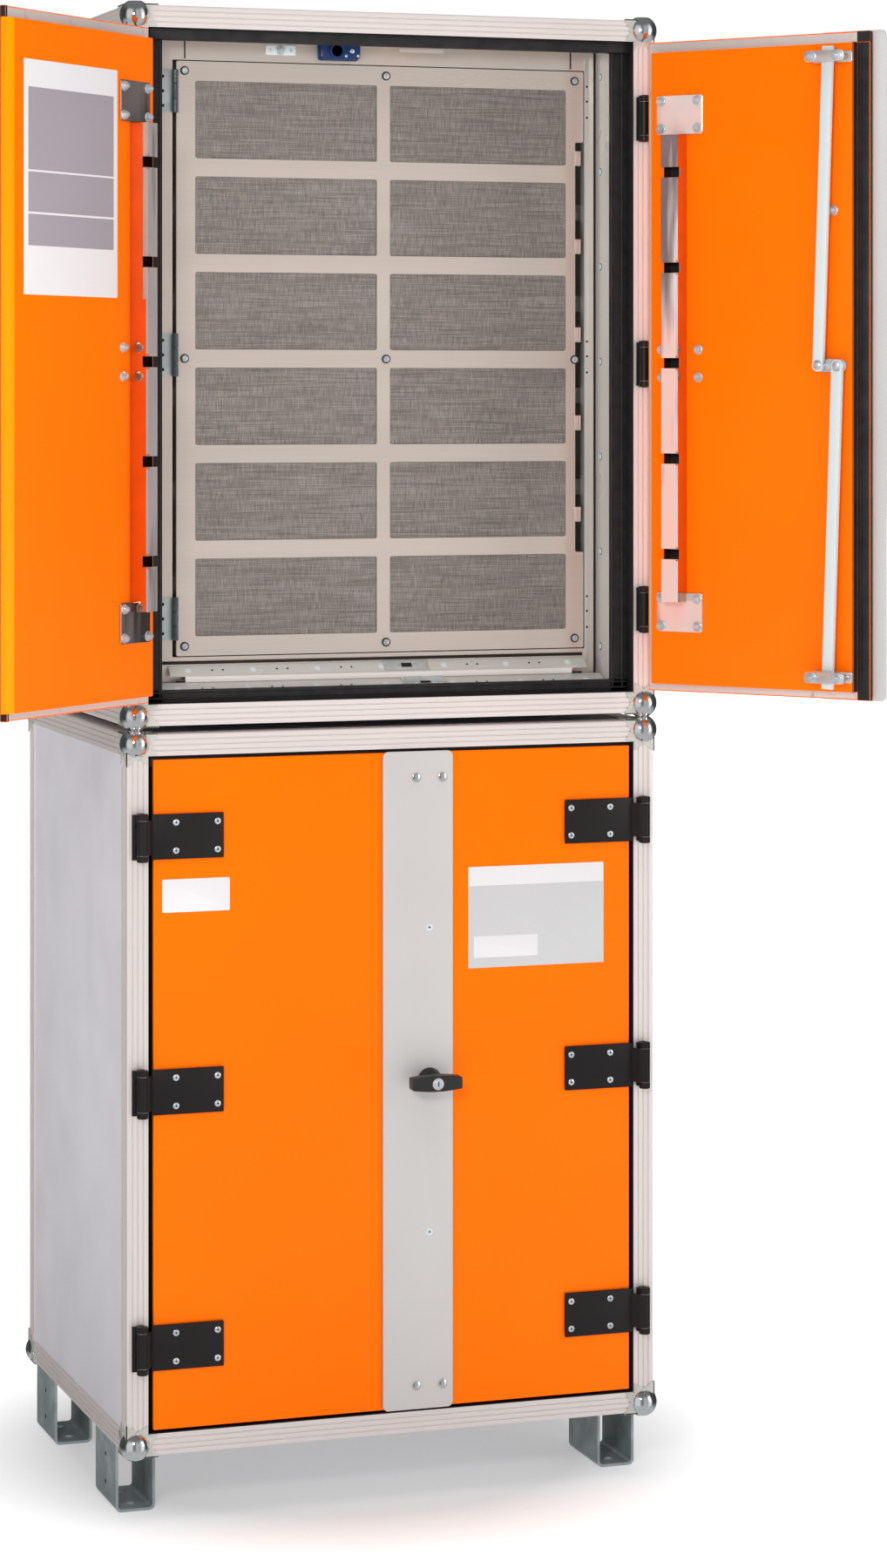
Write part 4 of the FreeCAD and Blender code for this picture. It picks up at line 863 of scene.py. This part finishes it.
def make_grip(cabinet, place):
    """The T-handle: ring and stem on the strip, a tapered grip and the rim of its lock."""
    piece = Piece()
    ring = [(17.5, 0), (17.5, 2.5), (15.5, 6.5), (12.4, 7.5), (11.4, 9.5), (10.6, 20), (11.5, 28), (0, 28)]
    piece.lathe((LOCK.x, STRIP[0].y - 0.4, LOCK.z), TO_FRONT, ring, "grip", 48)
    half, tall, short, deep = 37.5, 11.4, 8.6, 22
    quarter = [(half, short), (half * 0.62, tall * 0.9), (half * 0.28, tall)]
    points = []
    for sx, sz in ((1, 1), (-1, 1), (-1, -1), (1, -1)):
        points += [(LOCK.x + sx * x, GRIP_FRONT + deep, LOCK.z + sz * z) for x, z in quarter[::sx * sz]]
    piece.outline(points, (0, -deep, 0), "grip", 2.2, 4)
    rim = [(8.6, 0), (8.6, 0.8), (8.0, 1.4), (0, 1.4)]
    piece.lathe((LOCK.x, GRIP_FRONT + 0.4, LOCK.z), TO_FRONT, rim, "zinc", 36)
    lock = f"{cabinet}_lock"
    piece.make(f"{lock}_grip", f"{cabinet}_handle", f"{lock}_handle", place=place, smooth=30)


def make_key(cabinet, place):
    piece = Piece()
    front = GRIP_FRONT - 1.15
    face = [(7.2, 0), (7.2, 0.7), (6.6, 1.1), (5, 1.1), (4.8, 0.9), (0, 0.9)]
    piece.lathe((LOCK.x, front, LOCK.z), TO_FRONT, face, "screw", 36)
    slit = (LOCK.x - 0.7, LOCK.x + 0.7)
    # painted shade: a dark box for the shade in the key slot
    piece.box(slit, (front - 1.2, front - 0.9), (LOCK.z - 3.4, LOCK.z + 3.4), "dark", 0.0)
    piece.make(f"{cabinet}_lock_key", f"{cabinet}_key", f"{cabinet}_lock_key_cylinder", place=place)


def make_cam(cabinet, place):
    """The cam behind the door, with its nut and the two pins that carry the rods."""
    piece = Piece()
    near, far = PLUG_BACK + 5, PLUG_BACK + 10
    piece.rod((LOCK.x, PLUG_BACK, LOCK.z), TO_BACK, 9.5, 5.4, "zinc")
    piece.plate((LOCK.x, LOCK.z), 48, 18, (near, far), "zinc", 8.5, 0.5, 6)
    hex_nut(piece, LOCK.x, far, LOCK.z, 7.6, 3.6, 0.1)
    pin = [(4, -10), (4, 0), (6, 0.2), (6, 1.2), (4.4, 2.2), (0, 2.6)]
    for x in (LOCK.x - CAM_PINS, LOCK.x + CAM_PINS):
        piece.lathe((x, PLUG_BACK + 20, LOCK.z), TO_BACK, pin, "screw", 28)
    piece.make(f"{cabinet}_lock_cam_plate", f"{cabinet}_handle", f"{cabinet}_lock_cam", place=place)


def make_rod(cabinet, word, place):
    """A flat lock rod with a round eye, leaning from its cam pin through its guide."""
    pin, guide, tip = LOCK.x - CAM_PINS, GUIDE_LOW, FLOOR + 53.5
    if word == "high":
        pin, guide, tip = LOCK.x + CAM_PINS, GUIDE_HIGH, TOP - 59
    lean = math.atan2(LOCK.x - pin, guide - LOCK.z)
    piece = Piece()
    front, back = PLUG_BACK + 12, PLUG_BACK + 20
    eye = [(8, 0.3), (8.3, 0.6), (8.3, back - front - 0.6), (8, back - front)]
    piece.lathe((0, front, 0), TO_BACK, eye, "bar", 36)
    piece.box((-8, 8), (front, back), (4, abs(tip - LOCK.z)), "bar", 0.6)
    turn = Matrix.Translation((pin, 0, LOCK.z)) @ Matrix.Rotation(lean, 4, "Y")
    name = f"{cabinet}_lock_rod_{word}"
    piece.make(f"{name}_bar", f"{cabinet}_{word}_rod", name, place=place @ turn)


# Inner frame and mesh door of the upper cabinet

WINDOW_MARGIN, WINDOW_BAR, WINDOW_POST, WINDOW_ROWS = 28, 26, 20, 6
SHEET = 2
UPPER = FLOOR + LIFTS["upper"]
RECESS_DEEP, RECESS = 13, (UPPER + 236, UPPER + 845)
RECESS_TABS = (292, 428, 559, 690, 821)
HEADER_SEAMS = (-295, 297)
MESH_HINGE = Vector(joint("mesh_door_hinge")["pos_m"]) / MM
MESH_HINGE_MIDS = three_heights(node_box("mesh_door_hinges"), 10.7)


def openings(start, size, gap, count):
    """Where each of some equal openings in a row starts and ends."""
    return [(start + index * (size + gap), start + index * (size + gap) + size) for index in range(count)]


def make_mesh_plate():
    """The mesh door's plate: two columns of windows, a return all round and the recess on the right."""
    low, high = MESH
    piece = Piece()
    wide = (high.x - low.x - 2 * WINDOW_MARGIN - WINDOW_POST) / 2
    tall = (high.z - low.z - 2 * WINDOW_MARGIN - (WINDOW_ROWS - 1) * WINDOW_BAR) / WINDOW_ROWS
    columns = openings(low.x + WINDOW_MARGIN, wide, WINDOW_POST, 2)
    rows = openings(low.z + WINDOW_MARGIN, tall, WINDOW_BAR, WINDOW_ROWS)
    inner = high.x - RECESS_DEEP

    def is_hole(x, z):
        in_column = any(start < x < end for start, end in columns)
        in_row = any(start < z < end for start, end in rows)
        return (in_column and in_row) or (x > inner and RECESS[0] < z < RECESS[1])

    xs = sorted({low.x, high.x, inner, *chain(*columns)})
    zs = sorted({low.z, high.z, *RECESS, *chain(*rows)})
    sheet_with_holes(piece, xs, zs, low.y, is_hole, 3)
    flange, edge = (low.y + 0.2, high.y), 1.5
    piece.box((low.x, low.x + edge), flange, (low.z, high.z), "steel", 0.2)
    for z in (low.z, high.z - edge):
        piece.box((low.x, high.x), flange, (z, z + edge), "steel", 0.2)
    for span in ((low.z, RECESS[0]), (RECESS[1], high.z)):
        piece.box((high.x - edge, high.x), flange, span, "steel", 0.2)
    piece.box((inner - edge, inner), flange, RECESS, "post", 0.2)
    for z in (RECESS[0] - edge, RECESS[1]):
        piece.box((inner, high.x), flange, (z, z + edge), "post", 0.2)
    return piece


def sheet_with_holes(piece, xs, zs, front, is_hole, radius):
    """A steel sheet made cell by cell, so that each hole is open, with round corners in the holes."""
    grid = {(x, z): piece.mesh.verts.new((x, front, z)) for x in xs for z in zs}
    flat = []
    for (x0, x1), (z0, z1) in product(pairwise(xs), pairwise(zs)):
        if not is_hole((x0 + x1) / 2, (z0 + z1) / 2):
            corners = [grid[corner] for corner in ((x0, z0), (x1, z0), (x1, z1), (x0, z1))]
            flat.append(piece.mesh.faces.new(corners))
    faces = piece.pull(flat, (0, SHEET, 0), "steel")
    short = [
        edge for edge in {edge for face in faces for edge in face.edges}
        if abs(edge.verts[0].co.y - edge.verts[1].co.y) > SHEET / 2 and len(edge.link_faces) == 2
        and edge.calc_face_angle(0) > 1
    ]
    bmesh.ops.bevel(piece.mesh, geom=short, offset=radius, segments=4, affect="EDGES", profile=0.5)


def make_mesh_door():
    low, high = MESH
    piece = make_mesh_plate()
    tab = (high.x - RECESS_DEEP - 1, high.x - RECESS_DEEP + 9)
    for rise in RECESS_TABS:
        z = UPPER + rise
        piece.box(tab, (low.y - 0.2, low.y + SHEET), (z - 11, z + 11), "steel", 0.5)
    washer = [(0, -0.2), (6.4, -0.2), (6.4, 1)]
    head = [(4.8, 0), (4.7, 1.4), (3.6, 2.5), (2.2, 2.8), (2.0, 1.6), (0, 1.6)]
    for x in (low.x + 12, (low.x + high.x) / 2 + 4, high.x - 14):
        for z in three_heights(MESH, 14):
            piece.lathe((x, low.y - 1, z), TO_BACK, washer, "dark", 28)
            piece.lathe((x, low.y - 1, z), TO_FRONT, head, "screw", 28)
    piece.make("mesh_door_plate", "mesh_door", "mesh_door_frame", smooth=30)
    cloth = Piece()
    low, high = node_box("mesh_door_wire")
    cloth.box((low.x, high.x), (low.y + 0.1, low.y + 0.5), (low.z, high.z), "cloth", 0)
    cloth.make("mesh_door_cloth", "mesh_door", "mesh_door_wire")
    make_mesh_hinges()


def make_mesh_hinges():
    """The moving half of the small zinc hinges: the middle knuckle and its leaf."""
    piece = Piece()
    for middle in MESH_HINGE_MIDS:
        span = (middle - 10.5, middle + 10.5)
        piece.rod((MESH_HINGE.x, MESH_HINGE.y, span[0]), UP, 4.4, 21, "knuckle", 0.4)
        piece.box((MESH[0].x - 1.4, MESH[0].x + 0.2), (MESH_HINGE.y, MESH[1].y), span, "zinc", 0.3)
    piece.make("mesh_door_knuckles", "mesh_door", "mesh_door_hinges")


def make_inner_frame():
    """The stainless frame round the mesh door: posts, header, stepped sill, hinge leaves and rivets."""
    front = MESH[0].y
    left, right = MESH[0].x - 6, MESH[1].x + 1.5
    below, above = MESH[0].z - 1.5, MESH[1].z + 1.5
    bottom, ceiling = UPPER + 36, UPPER + 982
    wall = LINER[1].x - 1.5
    piece = Piece()

    def is_opening(x, z):
        return left < x < right and below < z < above

    xs = [-wall, left, right, right + 8, wall - 6]
    sheet_with_holes(piece, xs, [bottom, below, above, ceiling], front, is_opening, 1.5)
    piece.box((right + 0.2, right + 7), (front - 0.6, front + 1), (below - 20, above + 20), "post", 0.2)
    # painted shade: a dark strip fills the gap between the frame sheet and the right side wall
    piece.box((wall - 6, wall), (front + 6, front + 8), (bottom, ceiling), "dark", 0.2)
    reveal = (front + 0.5, front + 18)
    for x in (left - SHEET, right):
        piece.box((x, x + SHEET), reveal, (below, above), "post", 0.3)
    for z in (below - SHEET, above):
        piece.box((left, right), reveal, (z, z + SHEET), "steel", 0.3)
    for x in HEADER_SEAMS:
        piece.box((x, x + 2.5), (front - 0.3, front + 0.3), (above + SHEET, ceiling), "dark", 0.1)
    for middle in MESH_HINGE_MIDS:
        for rise in (-24, 0, 22):
            piece.spot((right + 4, front - 0.6, middle + rise), TO_FRONT, 1.7, 0.15, 14)
        hinge_leaf_on_post(piece, front, middle)
    for step in range(7):
        z = bottom + 60 + step * 141
        rivet(piece, (wall + 0.2, front - 14, z), (-1, 0, 0), 6, "knuckle")
        rivet(piece, (wall - 0.6, front - 14, z), (-1, 0, 0), 4.6, "bar")
    make_sill(piece, front, bottom, wall)
    piece.make("inner_frame_sheets", "frame", "upper_inner_frame", smooth=30)


def hinge_leaf_on_post(piece, front, middle):
    """The fixed half of a small zinc hinge: its leaf with three screw holes, and the two end knuckles."""
    edge = MESH_HINGE.x - 4.8
    piece.box((edge - 22, edge + 1), (front - 1.5, front - 0.1), (middle - 31, middle + 31), "zinc", 0.4)
    for start in (middle - 31, middle + 11):
        piece.rod((MESH_HINGE.x, MESH_HINGE.y, start), UP, 4.5, 20, "knuckle", 0.4)
    for rise in (-21, 0, 21):
        piece.spot((edge - 13, front - 1.5, middle + rise), TO_FRONT, 2.4, 0.25, 18)


def make_sill(piece, front, bottom, wall):
    """The sill: two sloping plates with strike plates, an upstand between them painted pale for its sheen,
    and two dark strips of painted shade.
    """
    step, sill = front - 15, bottom + 14
    slopes = (
        ((FRONT + RAIL + 1, sill - 8), (step, sill + 7), wall - 1, LOCK.x + 12),
        ((step, sill + 17), (front - 1, sill + 30), wall - 22, LOCK.x - 10),
    )
    for near, far, half, strike in slopes:
        slope_with_rivets(piece, near, far, half)
        strike_on_sill(piece, near, far, strike)
    # painted sheen: the steel upstand takes the pale lip colour
    piece.box((-wall + 44, wall - 46), (step - 1, step + 1), (sill + 7, sill + 15.5), "lip", 0.4)
    # painted shade: a dark strip under the upstand and one where the sill meets the frame
    piece.box((-wall + 30, wall - 30), (step, step + 2), (sill + 4, sill + 10), "dark", 0.1)
    piece.box((-wall + 12, wall - 24), (front - 1.2, front + 0.2), (sill + 32, sill + 37), "dark", 0.2)


def slope_with_rivets(piece, near, far, half):
    """A sloping plate between two lines, each a (y, z), with seven flat rivets and pairs of holes."""
    section = [near, far, (far[0], far[1] - 2), (near[0], near[1] - 2)]
    piece.outline([(-half, y, z) for y, z in section], (2 * half, 0, 0), "liner", 0.3)
    normal = Vector((0, -(far[1] - near[1]), far[0] - near[0]))
    y, z = (near[0] + far[0]) / 2, (near[1] + far[1]) / 2
    for index in range(7):
        x = -half + 28 + index * (2 * half - 56) / 6
        rivet(piece, (x, y, z), normal, 5, "bar")
        for shift in (36, 52):
            if x + shift < half:
                piece.spot((x + shift, y, z), normal, 1.6, 0.2, 12)


def strike_on_sill(piece, near, far, x):
    """A small strike plate on a sloping sill, with a slot and two screws."""
    half, thick = 34, 1.6
    run, rise = far[0] - near[0], far[1] - near[1]
    lift = Vector((0, -rise, run)).normalized()
    points = [(x - half, *near), (x + half, *near), (x + half, *far), (x - half, *far)]
    piece.outline(points, lift * thick, "zinc", 0.3)
    middle = Vector((x, (near[0] + far[0]) / 2, (near[1] + far[1]) / 2)) + lift * thick
    for shift in (-14, 14):
        rivet(piece, middle + Vector((shift, 0, 0)), lift, 4.2, "screw")
    slot = [middle + Vector((sx * 8, sy * 3, sy * 3 * rise / run)) for sx, sy in CORNERS]
    piece.outline(slot, lift * 0.15, "dark")


def make_power_inlet():
    low, high = node_box("power_inlet")
    middle, wide, tall = seen_from_front((low, high))
    face = low.y + 6
    piece = Piece()
    piece.plate(middle, wide, tall, (face, high.y), "blue", 5, 1.2, 5)
    piece.plate(middle, wide + 5, tall + 2, (high.y - 4, high.y), "blue", 5, 0.8, 5)
    socket = [(11, 0), (11, 5), (9.4, 6), (8.2, 5), (8.2, -2), (0, -2)]
    piece.lathe((low.x + 20.5, face, middle[1]), TO_FRONT, socket, "blue", 36)
    for x, z, radius in ((0.78, 0.5, 3.4), (0.62, 0.2, 2.2), (0.94, 0.22, 2.2)):
        rivet(piece, (low.x + x * wide, face, low.z + z * tall), TO_FRONT, radius, "screw")
    piece.make("power_inlet_body", "frame", "power_inlet")


def make_earth_bracket():
    low, high = node_box("earth_bracket")
    (x, z), wide, tall = seen_from_front((low, high))
    face = high.y - 2
    piece = Piece()
    piece.plate((x, z), wide, tall, (face, high.y), "bar", 2)
    hex_nut(piece, x, face, z, 5.8, 3, 0.35, out=-1)
    for spot in (low.x + 7, high.x - 7):
        rivet(piece, (spot, face, z), TO_FRONT, 2.4, "screw")
    piece.make("earth_bracket_plate", "frame", "earth_bracket")


# Labels, left blank

def make_label(name, body, place, x, z, y, fields=(), out=-1, shade="label_pale", patch=None):
    """A blank sticker with plain fields and a pale patch, given as shares of its width and height."""
    piece = Piece()
    middle = ((x[0] + x[1]) / 2, (z[0] + z[1]) / 2)
    wide, tall = x[1] - x[0], z[1] - z[0]
    piece.plate(middle, wide, tall, sorted((y, y + out * 0.3)), "label", 2, 0.05)
    layers = [(field, 0.4, shade) for field in fields]
    if patch:
        layers.append((patch, 0.5, "label"))
    for (left, bottom, right, top), lift, colour in layers:
        spot = (x[0] + wide * (left + right) / 2, z[0] + tall * (bottom + top) / 2)
        depth = sorted((y + out * (lift - 0.15), y + out * lift))
        piece.plate(spot, wide * (right - left), tall * (top - bottom), depth, colour, 0.5, 0.02)
    piece.make(name, body, place=place)


def make_labels():
    top = LEAF_HIGH - 171
    make_label("label_lower_left", "lower_left_door", None, (-348, -249), (top - 47, top), FRONT)
    band, patch = (0.0, 0.0, 1.0, 0.81), (0.04, 0.1, 0.51, 0.31)
    z = (top - 147, top)
    make_label("label_lower_right", "lower_right_door", None, (110, 320), z, FRONT, [band], patch=patch)
    fields = [(0.042, low, 0.954, high) for low, high in ((0.531, 0.883), (0.352, 0.523), (0.209, 0.343))]
    place, z = door_place("upper", "left"), (LEAF_LOW + 567, LEAF_HIGH - 70)
    x = (-254, -24)
    make_label("label_upper_left", "upper_left_door", place, x, z, PLUG_BACK, fields, 1, "label_grey")


# Put it together

corner_pieces = []
for cabinet in LIFTS:
    make_rails(cabinet)
    corner_pieces.append(make_corners(cabinet))
    dress_walls(cabinet)
    make_seal(cabinet)
    for word, side in SIDES.items():
        door, place = f"{cabinet}_{word}_door", door_place(cabinet, word)
        for make_part in (make_leaf, make_plug, make_hinge_plates, make_channel, make_bolt_ends):
            make_part(door, side, place)
    # The right door came last, and it carries the lock
    for make_part in (make_strip, make_guides):
        make_part(door, place)
    for make_part in (make_grip, make_key, make_cam):
        make_part(cabinet, place)
    for word in ("high", "low"):
        make_rod(cabinet, word, place)
for thing in corner_pieces:
    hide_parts("ball_corners")
make_feet()
make_frame_leaves()
make_inner_frame()
make_mesh_door()
make_power_inlet()
make_earth_bracket()
make_labels()
coat("strike_plates", "steel", 0.3)


# Floor, light and camera

WHITE = (1, 1, 1, 1)


def make_floor():
    """A grey floor that glows white away from the cabinet and keeps the shadow near it."""
    bpy.ops.mesh.primitive_plane_add(size=80, location=(0, 0, 0))
    ground = bpy.context.object
    ground.name = "floor"
    shader = Shader("floor_white", (0.48, 0.48, 0.48), 0.85)
    shader.tint(shader.noise(1.5, 2), 0.995, 1.005)
    reach = shader.add("VectorMath", "Value", {0: shader.where()}, operation="LENGTH")
    shader.set(Emission_Color=WHITE, Emission_Strength=shader.ramp(reach, 0.33, 1.4, 0.38, 0.97))
    ground.data.materials.append(shader.material)
    ground.visible_glossy = False


def softbox(name, spot, aim, size, power, tall=None, mirrored=True):
    light = bpy.data.lights.new(name, "AREA")
    light.energy = power
    light.shape = "RECTANGLE"
    light.size = size
    light.size_y = tall or size
    thing = add_object(name, light)
    thing.location = spot
    thing.visible_glossy = mirrored
    thing.rotation_euler = (Vector(aim) - Vector(spot)).to_track_quat("-Z", "Y").to_euler()


def grey_ramp(tree, value, low, high, stops):
    """A ramp of greys along a value that runs from low to high."""
    ramp = tree.nodes.new("ShaderNodeValToRGB")
    elements = ramp.color_ramp.elements
    while len(elements) < len(stops):
        elements.new(0.5)
    for element, (position, _) in zip(elements, stops):
        element.position = position
    for element, (_, grey) in zip(elements, stops):
        element.color = (grey, grey, grey, 1)
    tree.fill(ramp, {"Fac": tree.ramp(value, 0, 1, low, high)})
    return ramp.outputs["Color"]


def overlay(tree, value, start, end, under, grey):
    """Fade from one colour to a plain grey while a value runs from start to end."""
    return tree.blend(tree.ramp(value, 0, 1, start, end), under, (grey, grey, grey, 1))


AROUND = (
    (0.0, 0.10), (0.25, 0.06), (0.30, 0.85), (0.40, 0.85), (0.43, 0.30), (0.47, 0.25), (0.50, 0.62),
    (0.57, 0.50), (0.61, 1.1), (0.66, 1.1), (0.69, 0.08), (0.78, 0.06), (1.0, 0.10),
)
UPWARDS = ((0.0, 0.8), (0.5, 0.55), (0.75, 0.8), (1.0, 1.15))


def make_world():
    """White behind the cabinet, a soft sky to light it, and a dark-walled studio for metal to reflect."""
    world = bpy.data.worlds.new("studio")
    bpy.context.scene.world = world
    world.use_nodes = True
    tree = Nodes(world.node_tree)
    way = tree.add("TexCoord", "Generated")
    x, y, z = (tree.add("SeparateXYZ", axis, {"Vector": way}) for axis in "XYZ")
    turn = tree.calc("ARCTAN2", x, tree.calc("MULTIPLY", y, -1))
    walls = grey_ramp(tree, turn, -math.pi, math.pi, AROUND)
    sky = grey_ramp(tree, z, -1, 1, UPWARDS)
    room = overlay(tree, z, 0.45, 0.75, walls, 0.22)
    room = overlay(tree, z, -0.25, -0.6, room, 0.62)
    surface, *others = (
        tree.add("Background", "Background", {"Color": colour, "Strength": strength})
        for colour, strength in ((sky, 0.47), (room, 0.8), (WHITE, 1.0))
    )
    for ray, shade in zip(("Is Glossy Ray", "Is Camera Ray"), others):
        inputs = {"Fac": tree.add("LightPath", ray), 1: surface, 2: shade}
        surface = tree.add("MixShader", "Shader", inputs)
    tree.link(surface, tree.nodes["World Output"].inputs["Surface"])


FOCAL_LENGTH, IMAGE_HEIGHT = 4509, 1800


def make_camera():
    """The photograph's camera: left of the middle, level, with the view shifted down to the feet."""
    data = bpy.data.cameras.new("photo_camera")
    data.sensor_width = 36
    data.lens = FOCAL_LENGTH / IMAGE_HEIGHT * data.sensor_width
    data.shift_x = 0.0007
    data.shift_y = -0.25
    data.clip_end = 100
    thing = add_object("photo_camera", data)
    thing.location = (-1.76089, -5.71128, 1.59795)
    thing.rotation_euler = (math.pi / 2 + 0.0005, 0, -0.3277)
    bpy.context.scene.camera = thing


make_floor()
make_world()
softbox("key", (-2.0, -3.9, 2.4), (0, 0, 1.0), 0.6, 58)
softbox("fill", (3.4, -3.2, 1.6), (0, 0, 1.2), 0.9, 24, 2.6)
softbox("top", (0.2, -1.2, 5.4), (0, 0, 0), 3.4, 74, mirrored=False)
make_camera()
bpy.context.scene.view_settings.view_transform = "Standard"
